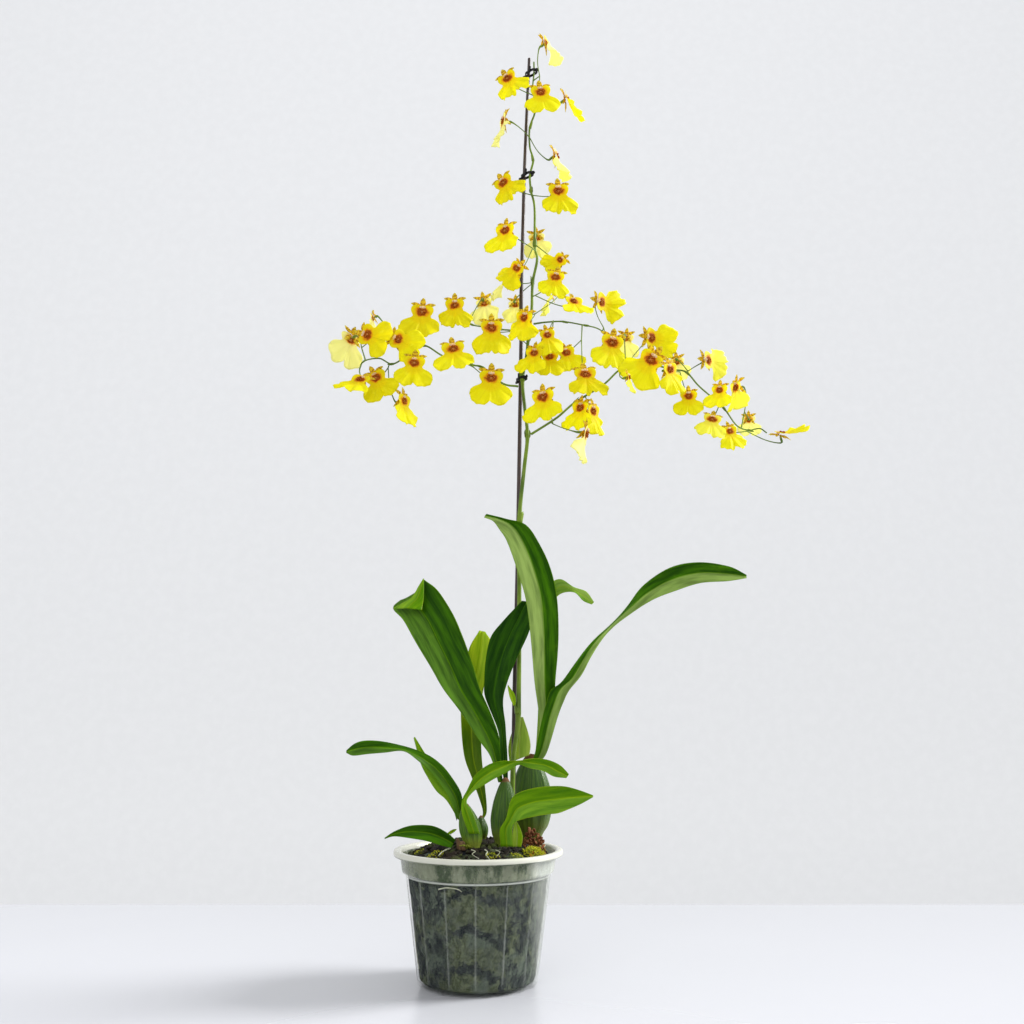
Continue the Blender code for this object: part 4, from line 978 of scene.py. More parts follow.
def small_petal(form, layer, root, tip, half_width, back, seed):
    """A narrow pointed sepal or petal with a shallow cup."""
    root, tip = Vector((root[0], 0.6, root[1])), Vector((tip[0], back, tip[1]))
    run = tip - root
    across = Vector((0, 1, 0)).cross(run).normalized()
    rings = []
    for row in range(7):
        t = row / 6
        width = half_width * max(0.12, math.sin(math.pi * min(0.98, 0.14 + 0.84 * t)) ** 0.8)
        ring = []
        for column in range(5):
            side = column / 2 - 1
            corner = root + run * t + across * side * width
            corner.y += 0.9 * side * side * math.sin(math.pi * t) + 0.5 * wave(t * 3, side, seed)
            vert = form.verts.new(corner)
            vert[layer] = (t, side, 1)
            ring.append(vert)
        rings.append(ring)
    join_rings(form, rings, closed=False)


def knob(form, layer, place, size, part):
    """A small rounded swelling."""
    made = bmesh.ops.create_icosphere(
        form, subdivisions=1, radius=1, matrix=Matrix.Translation(place) @ Matrix.Diagonal((*size, 1)))
    for vert in made["verts"]:
        vert[layer] = (vert.co.x, vert.co.z, part)


def make_flower(number, ruffle, droop, fold, lean, breadth):
    """One whole flower about its throat: +X to its right, +Y to the viewer, +Z up."""
    form = bmesh.new()
    layer = form.verts.layers.float_vector.new("petal")
    lip(form, layer, ruffle, droop, fold, lean, breadth, number * 2.3 + 0.6)
    for index, petal in enumerate(SMALL_PETALS):
        small_petal(form, layer, *petal, number * 1.9 + index)
    bmesh.ops.recalc_face_normals(form, faces=form.faces)
    bmesh.ops.solidify(form, geom=form.faces[:], thickness=0.32)
    for place, size in (
        ((0, 3.2, 0.6), (1.3, 1.2, 1.1)), ((1.9, 2.8, -0.6), (1.1, 1.0, 1.0)), ((-1.9, 2.8, -0.6), (1.1, 1.0, 1.0)),
        ((0.9, 3.0, -2.4), (0.8, 0.9, 1.2)), ((-0.9, 3.0, -2.4), (0.8, 0.9, 1.2)),
    ):
        knob(form, layer, place, size, 3)
    knob(form, layer, (0, 2.2, 2.6), (1.2, 2.0, 1.7), 2)
    knob(form, layer, (1.5, 2.4, 2.9), (1.1, 0.5, 1.1), 2)
    knob(form, layer, (-1.5, 2.4, 2.9), (1.1, 0.5, 1.1), 2)
    knob(form, layer, (0, -1.6, 0.2), (1.2, 2.6, 1.2), 4)
    return make_object(f"flower_kind_{number}", form)


def flower_turn(turn, tilt, swing):
    """Right, forward and up of a flower as the columns of a matrix."""
    turn, tilt, swing = math.radians(turn), math.radians(tilt), math.radians(swing)
    forward = Vector((math.sin(turn) * math.cos(tilt), -math.cos(turn) * math.cos(tilt), math.sin(tilt)))
    up = Vector((-math.sin(swing), 0, math.cos(swing)))
    up = (up - forward * up.dot(forward)).normalized()
    return Matrix((forward.cross(up), forward, up)).transposed()


def stalk(flower, fork):
    """A flower's stalk: thick behind the flower, then slim down to the fork."""
    throat = Vector(flower[:3])
    forward = flower_turn(*flower[3:6]).col[1]
    size = flower[6]
    start = throat - forward * 2.5 * size
    neck = throat - forward * 7.0 * size
    bend = neck.lerp(fork, 0.45) - forward * 2.0
    line = smooth_line((start, neck, bend, fork), 4)
    radii = (1.0, 1.1, 1.05, 0.9, 0.7, 0.55, 0.48, 0.45, 0.42, 0.42, 0.42, 0.45, 0.5)
    return list(zip(line, radii))


def nearest_on(line, place):
    """The point of a line that is nearest to a place."""
    return min(line, key=lambda point: (point - place).length)


def stem_line(route, foot_radius, end_radius, joints):
    """A stem with a small swelling at each joint."""
    line = smooth_line(route, STEM_STEPS)
    radii = []
    for index in range(len(line)):
        share = index / (len(line) - 1)
        radius = foot_radius + (end_radius - foot_radius) * share**0.6
        near = min(abs(index - joint * STEM_STEPS) for joint in joints)
        radii.append(radius * (1 + 0.28 * math.exp(-(near / 0.9)**2)))
    return line, radii


def make_bracts(line, radii, joints):
    """A small pointed sheath hugging the stem at each joint."""
    form = bmesh.new()
    for number, joint in enumerate(joints):
        index = joint * STEM_STEPS
        along = (line[index + 1] - line[index - 1]).normalized()
        side = along.cross(Vector((math.cos(number * 2.4), math.sin(number * 2.4), 0.2))).normalized()
        back = along.cross(side)
        radius = radii[index] * 1.12
        length = 3.2 + 2.6 * radius
        rings = []
        for row in range(6):
            t = row / 5
            spread = math.radians(115) * (1 - t) ** 0.8 + 0.06
            ring = []
            for column in range(7):
                angle = (column / 3 - 1) * spread
                reach = radius * (1 + 0.5 * t)
                out = side * math.sin(angle) * reach + back * math.cos(angle) * reach
                ring.append(form.verts.new(line[index] + along * (t * length - 0.6) + out))
            rings.append(ring)
        join_rings(form, rings, closed=False)
    bmesh.ops.recalc_face_normals(form, faces=form.faces)
    bmesh.ops.solidify(form, geom=form.faces[:], thickness=0.22)
    return form


def petal_tone_and_painted_light(flower, change):
    """Each flower's own tone with painted light added: paler to the right, where the light falls, and paler again, as
    if lit through, for a flower seen from its side or its back.
    """
    turned = abs(flower[3])
    shade = 0.4 + flower[0] / 800 + change + (0.45 if turned > 55 else 0.0) + (0.5 if turned > 99 else 0.0)
    return min(1.0, max(0.0, shade))


kinds = [make_flower(number, *kind) for number, kind in enumerate(FLOWER_KINDS)]
flower_kinds = set_aside("flower_kinds", kinds)
stem_lines = {name: stem_line(*stem) for name, stem in STEMS.items()}
chance = random.Random(5)
for spray, stem_name in SPRAYS.items():
    pairs = {name: pair for name, pair in FLOWERS.items() if name.startswith(spray)}
    throats, turns, sizes, picks, tones_and_painted_light = [], [], [], [], []
    line, radii = stem_lines[stem_name]
    stalks = [list(zip(line, radii))]
    for twig_foot, fork, flowers in pairs.values():
        fork = Vector(fork)
        foot = Vector(twig_foot) if twig_foot else fork
        joined = nearest_on(line, foot)
        stalks.append([(fork, 0.5), (fork.lerp(joined, 0.5), 0.5), (joined, 0.65)])
        for flower in flowers:
            stalks.append(stalk(flower, fork))
            throats.append(Vector(flower[:3]) * MM)
            turns.append(flower_turn(*flower[3:6]).to_quaternion())
            sizes.append(flower[6])
            picks.append(chance.randrange(len(kinds)))
            tones_and_painted_light.append(petal_tone_and_painted_light(flower, chance.uniform(-0.25, 0.25)))
    mesh = bpy.data.meshes.new(spray + "_places")
    mesh.from_pydata(throats, [], [])
    set_values(mesh, "turn", "QUATERNION", turns)
    set_values(mesh, "size", "FLOAT", sizes)
    set_values(mesh, "kind", "INT", picks)
    set_values(mesh, "shade", "FLOAT", tones_and_painted_light)
    base = in_scene(spray + "_places", mesh)
    petals = grow("spray_of_" + spray, base, SPRAY_TREE, {"Flowers": flower_kinds, "Size": 1.0, "Finish": PETAL})
    on_root(petals, "flowers", *nodes_named(spray))
    stems = make_stems("stalks_of_" + stem_name, stalks, STEM, 8)
    on_root(stems, "stems", stem_name)
    bracts = make_object("bracts_of_" + stem_name, make_bracts(line, radii, STEMS[stem_name][3]), STEM)
    on_root(bracts, "stems")
clear_away(flower_kinds)

# ---------------------------------------------------------------- pot, mix and what grows in it


def mix_height(x, y):
    """The mix's surface: a mound with small bumps."""
    far = math.hypot(x, y) / MIX_RADIUS
    bump_up = noise.noise(Vector((x, y, 0)) / 9.0)
    return MIX_TOP - MIX_FALL * far**2 + MIX_BUMP * bump_up * (1 - far**4)


def make_pot():
    """The wall as a turned shell with soft upright ribs, then drain slots cut through its lower corner."""
    inside = POT_WALL
    body = [(POT_BASE_RADIUS + (POT_STEP_RADIUS - POT_BASE_RADIUS) * t, POT_CORNER_HEIGHT + CONE_HEIGHT * t, 1.0)
            for t in (0.0, 0.02, 0.08, 0.25, 0.45, 0.65, 0.85, 0.95, 1.0)]
    body[0] = (*body[0][:2], 0.0)
    body[1] = (*body[1][:2], 0.5)
    body[-1] = (*body[-1][:2], 0.3)
    profile = [
        (24, 0.0, 0), (40, 0.0, 0), (POT_BASE_RADIUS - 2.2, 0, 0), (POT_BASE_RADIUS - 0.9, 0.5, 0),
        (POT_BASE_RADIUS - 0.3, 1.6, 0), *body,
        (POT_STEP_RADIUS + 0.5, POT_STEP_HEIGHT + 0.9, 0), (POT_STEP_RADIUS + 1.6, POT_STEP_HEIGHT + 1.5, 0),
        (POT_STEP_RADIUS + 2.3, POT_STEP_HEIGHT + 2.2, 0), (POT_STEP_RADIUS + 2.7, POT_STEP_HEIGHT + 3.6, 0),
        (POT_BAND_RADIUS - 0.4, POT_HEIGHT - 6.2, 0), (POT_BAND_RADIUS + 0.3, POT_HEIGHT - 4.9, 0),
        (POT_RIM_RADIUS - 1.2, POT_HEIGHT - 4.5, 0), (POT_RIM_RADIUS - 0.4, POT_HEIGHT - 4.1, 0),
        (POT_RIM_RADIUS, POT_HEIGHT - 3.3, 0), (POT_RIM_RADIUS, POT_HEIGHT - 1.2, 0),
        (POT_RIM_RADIUS - 0.4, POT_HEIGHT - 0.4, 0), (POT_RIM_RADIUS - 1.3, POT_HEIGHT, 0),
        (POT_BAND_RADIUS + 1.2, POT_HEIGHT, 0), (POT_BAND_RADIUS + 0.2, POT_HEIGHT - 0.3, 0),
        (POT_BAND_RADIUS - inside + 0.3, POT_HEIGHT - 1.2, 0), (POT_BAND_RADIUS - inside, POT_HEIGHT - 2.2, 0),
        (POT_STEP_RADIUS + 2.6 - inside, POT_STEP_HEIGHT + 3.6, 0),
        (POT_STEP_RADIUS + 1.8 - inside, POT_STEP_HEIGHT + 2.0, 0),
        (POT_STEP_RADIUS - inside, POT_STEP_HEIGHT + 0.6, 0), (POT_BASE_RADIUS - inside, 4.2, 0),
        (POT_BASE_RADIUS - inside - 0.8, 2.9, 0), (POT_BASE_RADIUS - 3.2, POT_FLOOR, 0), (24, POT_FLOOR, 0),
    ]
    steps = 300
    form = bmesh.new()
    layer = form.verts.layers.float.new("rib")
    pitch = math.tau / RIB_COUNT
    rings = []
    for radius, height, ribbed in profile:
        ring = []
        for step in range(steps):
            angle = math.tau * step / steps - math.pi / 2
            off = (step / steps * RIB_COUNT + 0.5) % 1 - 0.5
            crest = max(0.0, 1 - (abs(off) * pitch * radius / 1.05) ** 2) * ribbed
            reach = radius + RIB_HEIGHT * crest
            corner = form.verts.new((reach * math.cos(angle), reach * math.sin(angle), height))
            corner[layer] = crest
            ring.append(corner)
        rings.append(ring)
    join_rings(form, rings)
    cap(form, rings[0], (0, 0, 0.0))
    cap(form, rings[-1], (0, 0, POT_FLOOR))
    pot = make_object("uncut_pot", form, POT)
    cutters = []
    for angle in DRAIN_ANGLES:
        form = bmesh.new()
        bmesh.ops.create_cube(form, size=1, matrix=Matrix.Diagonal((9, 11, 7.2, 1)))
        bmesh.ops.translate(form, vec=(POT_BASE_RADIUS + 0.6, 0, 1.2), verts=form.verts)
        bmesh.ops.rotate(form, matrix=Matrix.Rotation(math.radians(angle), 3, "Z"), verts=form.verts)
        cutters.append(make_object("drain_cutter", form, POT, smooth=False))
        cut = pot.modifiers.new("drain", "BOOLEAN")
        cut.object = cutters[-1]
    graph = bpy.context.evaluated_depsgraph_get()
    mesh = bpy.data.meshes.new_from_object(
        pot.evaluated_get(graph), preserve_all_data_layers=True, depsgraph=graph)
    made = in_scene("ribbed_pot", mesh)
    for helper in (pot, *cutters):
        bpy.data.objects.remove(helper, do_unlink=True)
    mesh.set_sharp_from_angle(angle=math.radians(40))
    return on_root(made, "pot", "pot")


def make_packed_mix():
    """The body of the mix, pitted where it lies against the wall."""
    wall = POT_WALL + 0.8
    foot = POT_BASE_RADIUS - wall
    shoulder = POT_STEP_RADIUS - wall
    rows = [(foot - 3, 2.6), (foot - 0.8, 3.2)]
    rows += [(foot + (shoulder - foot) * t, 5 + (POT_STEP_HEIGHT - 5) * t) for t in [i / 22 for i in range(23)]]
    rows += [(shoulder + 2.2, POT_STEP_HEIGHT + 3.2), (MIX_RADIUS - 0.4, 87.0)]
    form = bmesh.new()
    rings = []
    steps = 220
    for radius, height in rows:
        ring = []
        for step in range(steps):
            angle = math.tau * step / steps
            x, y = math.cos(angle), math.sin(angle)
            pit = max(0.0, wave(x * 7, y * 7, height / 8)) * 3.4 + max(0.0, wave(x * 17, y * 17, height / 3.4)) * 1.4
            reach = radius - min(1.2, pit * 0.4)
            ring.append(form.verts.new((reach * x, reach * y, height)))
        rings.append(ring)
    for share in (0.99, 0.9, 0.78, 0.65, 0.5, 0.35, 0.2, 0.08):
        ring = []
        for step in range(steps):
            angle = math.tau * step / steps
            x, y = MIX_RADIUS * share * math.cos(angle), MIX_RADIUS * share * math.sin(angle)
            ring.append(form.verts.new((x, y, mix_height(x, y) - 1.6)))
        rings.append(ring)
    join_rings(form, rings)
    cap(form, rings[0], (0, 0, 2.7))
    cap(form, rings[-1], (0, 0, mix_height(0, 0) - 1.6))
    return on_root(make_object("packed_mix", form, MIX), "potting_mix", "potting_mix")


def chip(number, size, chance):
    """One broken chip of bark, with a few dozen faces."""
    form = bmesh.new()
    bmesh.ops.create_cube(form, size=2)
    bmesh.ops.subdivide_edges(form, edges=form.edges[:], cuts=1, use_grid_fill=True)
    for corner in form.verts:
        round_off = 1 - 0.13 * sum(abs(value) > 0.9 for value in corner.co)
        corner.co = Vector(value * round_off * half + chance.uniform(-0.13, 0.13) * min(size)
                           for value, half in zip(corner.co, size))
    return make_object(f"chip_{number}", form, smooth=False)


def leaflet(number, length, width, curl):
    """One moss leaflet: a narrow folded point."""
    form = bmesh.new()
    rows = []
    for t in (0.0, 0.4, 0.75, 1.0):
        half = width * (1 - t) ** 0.6 * (0.55 + t)
        lift = length * (t - 0.35 * curl * t * t)
        out = length * curl * t * t
        rows.append([form.verts.new((-half, out, lift)), form.verts.new((0, out - width * 0.4, lift)),
                     form.verts.new((half, out, lift))])
    join_rings(form, rows, closed=False)
    return make_object(f"leaflet_{number}", form)


def dome(name, centre, half_length, half_width, rise):
    """A low mound on the mix for small things to grow from."""
    lift = 0.3
    form = bmesh.new()
    rings = []
    for share in (1.0, 0.8, 0.55, 0.3):
        ring = []
        for step in range(24):
            angle = math.tau * step / 24
            ragged = 1 + 0.12 * wave(math.cos(angle) * 2, math.sin(angle) * 2, centre[0])
            x = centre[0] + half_length * share * ragged * math.cos(angle)
            y = centre[1] + half_width * share * ragged * math.sin(angle)
            ring.append(form.verts.new((x, y, mix_height(x, y) + lift + rise * (1 - share**2))))
        rings.append(ring)
    join_rings(form, rings)
    cap(form, rings[-1], (*centre, mix_height(*centre) + lift + rise))
    return make_object(name, form, turn_out=False)


def strewn(name, base, shapes, finish, values):
    """Small shapes over a base, as one piece."""
    return grow(name, base, SCATTER_TREE, {"Shapes": shapes, "Finish": finish, **values})


def plain_top(name, most):
    """The mix's top out to a radius, as a base to strew things over."""
    form = bmesh.new()
    rings = []
    for share in (1.0, 0.8, 0.6, 0.4, 0.2):
        ring = []
        for step in range(48):
            angle = math.tau * step / 48
            x, y = most * share * math.cos(angle), most * share * math.sin(angle)
            ring.append(form.verts.new((x, y, mix_height(x, y) - 0.6)))
        rings.append(ring)
    join_rings(form, rings)
    cap(form, rings[-1], (0, 0, mix_height(0, 0) - 0.6))
    for face in form.faces:
        face.normal_update()
        if face.normal.z < 0:
            face.normal_flip()
    return make_object(name, form, turn_out=False)


def make_top():
    """Everything strewn over the mix: bark, the red heap, orange bits and moss."""
    chance = random.Random(11)
    sizes = ((4.6, 3.0, 1.3), (3.6, 2.6, 1.5), (5.4, 2.2, 1.2), (2.8, 2.2, 1.4), (6.2, 3.2, 1.4), (2.2, 1.6, 1.1))
    chips = set_aside("chip_kinds", [chip(number, size, chance) for number, size in enumerate(sizes)])
    top = strewn("bark_chips", plain_top("mix_top", 54.0), chips, BARK, {
        "Spacing": 0.0034, "Most": 90000.0, "Smallest": 0.55, "Largest": 1.15, "Tilt": 0.55, "Seed": 3})
    on_root(top, "potting_mix")
    heap = strewn("bark_heap", dome("heap_base", (43, -6), 8.4, 8.0, 14.5), chips, RED_BARK, {
        "Spacing": 0.0024, "Most": 300000.0, "Smallest": 0.42, "Largest": 0.8, "Tilt": 1.2, "Seed": 5})
    on_root(heap, "bark", "bark_clump")
    bits = strewn("orange_bits", dome("bits_base", (47, -27), 8.6, 6.6, 5.8), chips, ORANGE_BARK, {
        "Spacing": 0.0042, "Most": 60000.0, "Smallest": 0.3, "Largest": 0.6, "Tilt": 1.2, "Seed": 9})
    on_root(bits, "bark")
    clear_away(chips)
    kinds = ((2.4, 0.55, 0.2), (3.0, 0.5, 0.5), (2.0, 0.6, 0.8), (3.4, 0.45, 0.35))
    moss = set_aside("leaflet_kinds", [leaflet(number, *kind) for number, kind in enumerate(kinds)])
    patch = strewn("moss_cushion", dome("moss_base", (44, -25), 9.2, 7.4, 5.6), moss, MOSS, {
        "Spacing": 0.0006, "Most": 4000000.0, "Smallest": 0.5, "Largest": 1.0, "Tilt": 0.8, "Seed": 2})
    on_root(patch, "moss", "moss_patch")
    for number, (x, y, half, rise) in enumerate((
        (-30, -34, 6, 1.6), (-44, -16, 4, 1.4), (12, -44, 5, 1.2), (30, -38, 5, 2.0), (-8, 36, 8, 2.0),
        (34, 28, 6, 1.6), (-36, 22, 7, 1.8), (50, 10, 3.4, 2.2),
    )):
        tuft = strewn(f"moss_tuft_{number + 1}", dome("tuft_base", (x, y), half, half * 0.8, rise), moss, MOSS, {
            "Spacing": 0.0009, "Most": 2000000.0, "Smallest": 0.4, "Largest": 0.8, "Tilt": 0.9, "Seed": 20 + number})
        on_root(tuft, "moss")
    clear_away(moss)


# A bulb's outline from below its foot to its tip: share of the height, share of the breadth.
BULB_SHAPE = (
    (-0.16, 0.42), (0.0, 0.62), (0.12, 0.86), (0.34, 1.0), (0.58, 0.9), (0.78, 0.66), (0.92, 0.4), (1.0, 0.2),
)


def make_bulb(name, foot, height, half_width, half_depth, lean, dark):
    """A flattened, pointed egg with shallow upright ribs."""
    outline = smooth_line([(breadth, 0, share) for share, breadth in BULB_SHAPE], 4)
    form = bmesh.new()
    layer = form.verts.layers.float_vector.new("bulb")
    rings = []
    for point in outline:
        share, breadth = point.z, point.x
        ring = []
        for step in range(64):
            angle = math.tau * step / 64
            fade = math.sin(math.pi * min(1, share + 0.1))
            flute = 1 + 0.035 * math.cos(9 * angle + 2 * wave(share * 2, angle)) * fade
            flute += 0.012 * wave(math.cos(angle) * 3, math.sin(angle) * 3, share * 6 + lean)
            corner = form.verts.new((
                foot[0] + lean * share + half_width * breadth * flute * math.cos(angle),
                foot[1] + half_depth * breadth * flute * math.sin(angle),
                foot[2] + height * share,
            ))
            corner[layer] = (share, angle if angle < math.pi else math.tau - angle, dark)
            ring.append(corner)
        rings.append(ring)
    join_rings(form, rings)
    for ring, drop, share in ((rings[0], -1.0, 0.0), (rings[-1], 0.8, 1.0)):
        centre = sum((corner.co for corner in ring), Vector()) / len(ring)
        middle = cap(form, ring, centre + Vector((0, 0, drop)))
        middle[layer] = (share, 0, dark)
    return on_root(make_object("ribbed_" + name, form, BULB), "bulbs", name)


def make_husk(name, centre, radii, height, middle_angle, spread, seed):
    """A dry papery sheath round the foot of a shoot, torn along its top."""
    form = bmesh.new()
    rings = []
    for row in range(8):
        t = row / 7
        ring = []
        for column in range(19):
            share = column / 9 - 1
            angle = math.radians(middle_angle + share * spread)
            torn = 1 - 0.35 * abs(share) ** 1.5 + 0.22 * wave(share * 3, seed)
            flare = 1 + 0.10 * t + 0.05 * wave(share * 4, t * 3, seed)
            ring.append(form.verts.new((
                centre[0] + radii[0] * flare * math.cos(angle),
                centre[1] + radii[1] * flare * math.sin(angle),
                centre[2] + height * t * torn,
            )))
        rings.append(ring)
    join_rings(form, rings, closed=False)
    bmesh.ops.recalc_face_normals(form, faces=form.faces)
    bmesh.ops.solidify(form, geom=form.faces[:], thickness=0.3)
    return on_root(make_object(name, form, HUSK), "sheaths")


def root_line(points, radius):
    """A root that thins towards its end."""
    line = smooth_line(points, 5)
    last = len(line) - 1
    return [(point, radius * (1 - 0.55 * index / last)) for index, point in enumerate(line)]


def wall_root(start, turn, low, high, radius, seed):
    """A pale root that winds down between the mix and the wall."""
    points = []
    for step in range(12):
        t = step / 11
        height = high + (low - high) * t
        angle = math.radians(start + turn * t + 9 * wave(t * 3, seed))
        up_the_cone = (height - POT_CORNER_HEIGHT) / CONE_HEIGHT
        inner = POT_BASE_RADIUS + (POT_STEP_RADIUS - POT_BASE_RADIUS) * up_the_cone - POT_WALL
        reach = inner - radius - 0.25
        points.append((reach * math.cos(angle), reach * math.sin(angle), height))
    return root_line(points, radius)


make_pot()
make_packed_mix()
make_top()
for bulb_name, bulb in BULBS.items():
    make_bulb(bulb_name, *bulb)
make_husk("husk_left", (-5, -27, 99), (10.0, 5.2), 8, 200, 50, 1.0)
wall_roots = [
    root_line(((-27, -49.6, 74.5), (-21, -52.4, 76), (-13, -54.8, 75.4), (-10, -55.2, 73.6)), 0.45),
    wall_root(40, 30, 16, 68, 0.6, 5), wall_root(110, -36, 26, 72, 0.6, 6), wall_root(160, 34, 12, 64, 0.6, 7),
]
on_root(make_stems("roots_in_the_pot", wall_roots, ROOT, 7), "potting_mix")


# ---------------------------------------------------------------- small plants on the mix


def small_growth():
    """Thin white roots over the mix, a star-shaped tuft and a tiny sprout."""
    surface_roots = []
    for points, radius in (
        (((-4, -36, 100), (-1, -41, 99.4), (-3, -46, 98.2), (2, -51, 95.8)), 0.35),
        (((6, -35, 100), (8, -40, 99), (7, -46, 98), (10, -53, 95.4)), 0.5),
        (((14, -37, 100), (17, -42, 99.2), (15, -48, 97.2)), 0.3),
        (((-20, -30, 100.4), (-25, -35, 98.8), (-28, -42, 96.6)), 0.6),
        (((48, 24, 98), (52, 18, 96.4), (50, 9, 96)), 0.7),
        (((-2, 20, 103), (-10, 28, 101), (-14, 38, 98)), 0.7),
    ):
        surface_roots.append(root_line(points, radius))
    on_root(make_stems("surface_roots", surface_roots, ROOT, 7), "potting_mix")
    blades = []
    for step in range(17):
        angle = math.tau * step / 17
        length = 5.5 + 2.2 * wave(step * 1.7)
        rise = 2.4 + 2.0 * wave(step * 2.3, 4)
        x, y = math.cos(angle), math.sin(angle)
        blades.append([
            ((-8.4, -30, 99.2), 0.5), ((-8.4 + x * length * 0.5, -30 + y * length * 0.5, 100.2 + rise), 0.6),
            ((-8.4 + x * length, -30 + y * length, 99.9 + rise), 0.15),
        ])
    on_root(make_stems("star_tuft", blades, TUFT, 5), "moss")
    sprout = [root_line(((-21, -14, 100), (-20.5, -14.5, 105), (-20.5, -15.5, 109.5)), 0.4)]
    on_root(make_stems("sprout_stem", sprout, TUFT, 6), "moss")
    leaf = blade("sprout_leaf", (
        ((-23.6, -15, 109), (-23.2, -15, 108.4)), ((-21.5, -16, 111), (-20.9, -16, 108.8)),
        ((-19, -17, 112.4), (-18, -17, 110.4)), ((-16.4, -18, 112.8), (-16.2, -18, 112.2)),
    ), 0.14, leaf_finish("sprout_green", FRESH, LIME, LIME), 0.1, 0.5, 9.0, 4, 6)
    on_root(leaf, "leaves")


small_growth()


# ---------------------------------------------------------------- stake and clips


def height_on(route, height):
    """The point of a rising route at the given height."""
    for lower, upper in zip(route, route[1:]):
        if lower[2] <= height <= upper[2]:
            share = (height - lower[2]) / (upper[2] - lower[2])
            return Vector(lower).lerp(Vector(upper), share)
    return Vector(route[-1])


def rounded_block(form, place, size, tilt):
    """A small block with softened edges."""
    made = bmesh.ops.create_cube(form, size=1, matrix=Matrix.Diagonal((*size, 1)))["verts"]
    edges = list({edge for vert in made for edge in vert.link_edges})
    soft = bmesh.ops.bevel(form, geom=edges, offset=min(size) * 0.22, segments=2, affect="EDGES")["verts"]
    block = list({*soft, *(vert for vert in made if vert.is_valid)})
    bmesh.ops.rotate(form, matrix=Matrix.Rotation(tilt, 3, "Y"), verts=block)
    bmesh.ops.translate(form, vec=place, verts=block)


# The band's section: inset from its outside, height.
CLIP_BAND = ((0.2, -1.2), (0.0, -0.9), (0.0, 0.9), (0.2, 1.2), (0.7, 1.2), (0.9, 0.9), (0.9, -0.9), (0.7, -1.2))
# Prongs and finger tabs: middle, size, tilt.
CLIP_BLOCKS = (
    ((-7.2, -0.6, -1.0), (4.6, 1.4, 2.2), 0.15), ((-7.6, 1.0, 0.4), (3.2, 1.2, 2.0), -0.3),
    ((1.2, -3.6, 1.2), (2.0, 1.3, 6.2), 0.05), ((6.9, -0.8, -0.6), (2.6, 1.3, 3.2), 0.4),
    ((6.4, 1.4, 0.9), (2.0, 1.1, 2.6), -0.5),
)


def make_clip(name, height, turn):
    """A sprung plastic clip: a slim oval band round the stake and the stem, with prongs and finger tabs."""
    stake = height_on(STAKE_ROUTE, height)
    stem = height_on(STEMS["flower_stem"][0], height)
    form = bmesh.new()
    rings = []
    for inset, level in CLIP_BAND:
        ring = []
        for step in range(48):
            angle = math.tau * (step + 0.5) / 48
            x = math.copysign(3.0, math.cos(angle)) + (3.5 - inset) * math.cos(angle)
            ring.append(form.verts.new((x, (3.5 - inset) * math.sin(angle), level)))
        rings.append(ring)
    join_rings(form, [*rings, rings[0]])
    for block in CLIP_BLOCKS:
        rounded_block(form, *block)
    bmesh.ops.rotate(form, matrix=Matrix.Rotation(math.radians(turn), 3, "Z"), verts=form.verts)
    bmesh.ops.translate(form, vec=(stake + stem) / 2, verts=form.verts)
    made = make_object("stem_" + name, form, CLIP)
    made.data.set_sharp_from_angle(angle=math.radians(50))
    return on_root(made, "clips", name)


for clip_name, clip in CLIPS.items():
    make_clip(clip_name, *clip)
stake_line = smooth_line(STAKE_ROUTE, 4)
stake_radii = [STAKE_RADIUS * (0.98 - 0.24 * index / len(stake_line)) for index in range(len(stake_line))]
on_root(make_stems("plant_stake", [list(zip(stake_line, stake_radii))], COATED, 18), "stake", "stake")


# ---------------------------------------------------------------- table, wall, light and camera


def flat_sheet(name, corners, finish):
    """One flat face of the room round the plant."""
    form = bmesh.new()
    form.faces.new([form.verts.new(corner) for corner in corners])
    made = make_object(name, form, finish, smooth=False, turn_out=False)
    return made


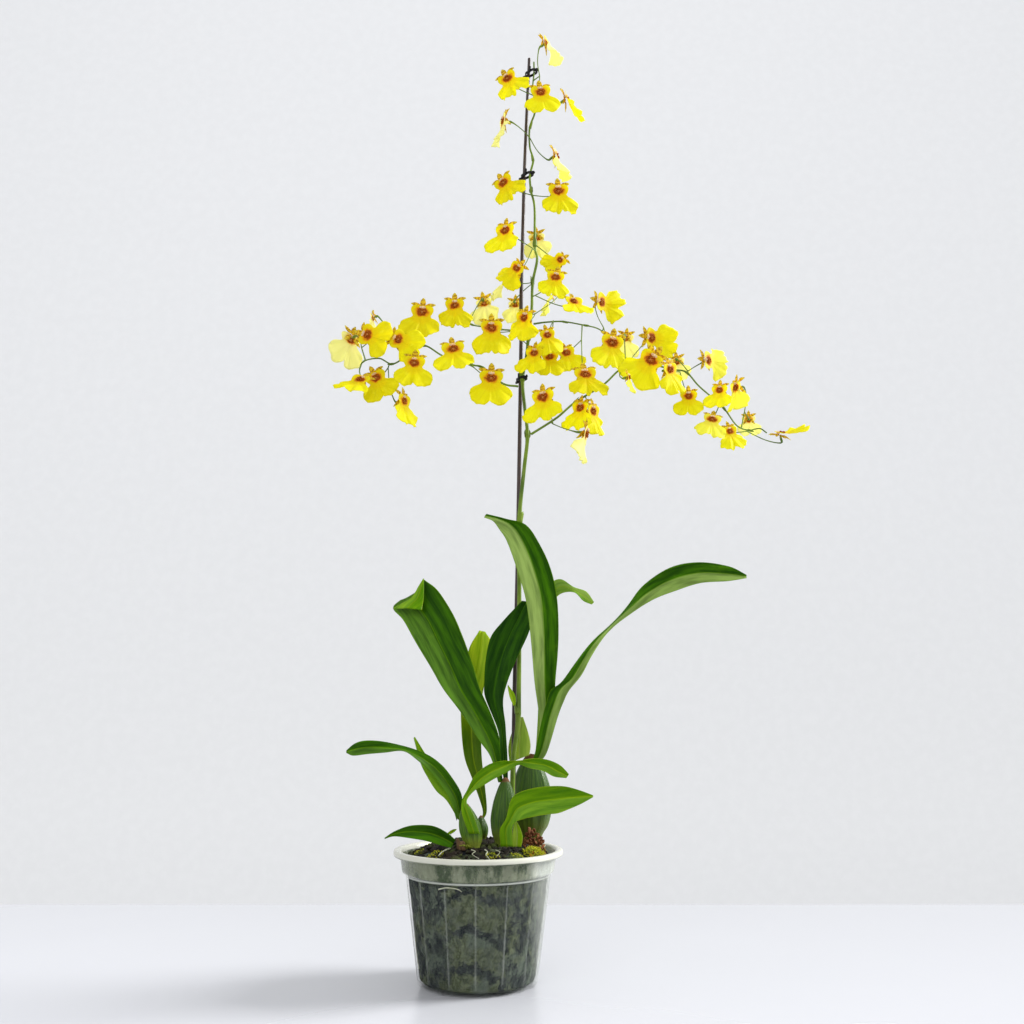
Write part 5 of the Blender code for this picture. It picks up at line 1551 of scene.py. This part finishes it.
table_top = simple_finish("white_table_top", (0.515, 0.52, 0.55), (0.52, 0.525, 0.555), 0.6, 0.24, 0.00002)
wall_paint = simple_finish("pale_wall_paint", (0.86, 0.865, 0.87), (0.88, 0.885, 0.89), 40, 0.9, 0.0004)
TABLE_TOP = -0.2
TABLE_HALF = 2600
TABLE_BACK = 316
back_edge = ((TABLE_HALF, TABLE_BACK, TABLE_TOP), (-TABLE_HALF, TABLE_BACK, TABLE_TOP))
flat_sheet("table", (
    (-TABLE_HALF, -TABLE_HALF, TABLE_TOP), (TABLE_HALF, -TABLE_HALF, TABLE_TOP), *back_edge), table_top)
flat_sheet("table_edge", (
    back_edge[1], back_edge[0], (TABLE_HALF, TABLE_BACK, -40), (-TABLE_HALF, TABLE_BACK, -40)), table_top)
flat_sheet("wall", ((-4200, 1700, -900), (4200, 1700, -900), (4200, 1700, 3400), (-4200, 1700, 3400)), wall_paint)


def soft_light(name, kind, place, aim, size, power):
    """A lamp at a place, turned to its aim."""
    lamp = bpy.data.lights.new(name, kind)
    if kind == "SUN":
        lamp.angle = size
    else:
        lamp.size = size
    lamp.energy = power
    made = in_scene(name, lamp)
    made.location = place
    made.rotation_euler = (Vector(aim) - Vector(place)).to_track_quat("-Z", "Y").to_euler()


soft_light("window_light", "SUN", (1.5, 0.35, 1.25), (0.02, 0, 0.35), 0.5, 6.0)
soft_light("front_fill", "AREA", (-0.6, -1.9, 1.3), (0, 0, 0.5), 1.8, 11)
soft_light("wall_wash", "AREA", (0.1, 0.5, 2.7), (0, 1.7, 0.0), 2.6, 2.5)
world = bpy.data.worlds.new("soft_room")
world.use_nodes = True
world.node_tree.nodes["Background"].inputs["Color"].default_value = (0.97, 0.98, 1.0, 1)
world.node_tree.nodes["Background"].inputs["Strength"].default_value = 0.87
bpy.context.scene.world = world
bpy.context.scene.view_settings.view_transform = "Standard"

lens = bpy.data.cameras.new("camera")
lens.lens = 35
lens.sensor_width = 36
camera = in_scene("camera", lens)
camera.location = (0.026, -0.807, 0.198)
camera.rotation_euler = (math.radians(90 + 11.5), 0, 0)
bpy.context.scene.camera = camera
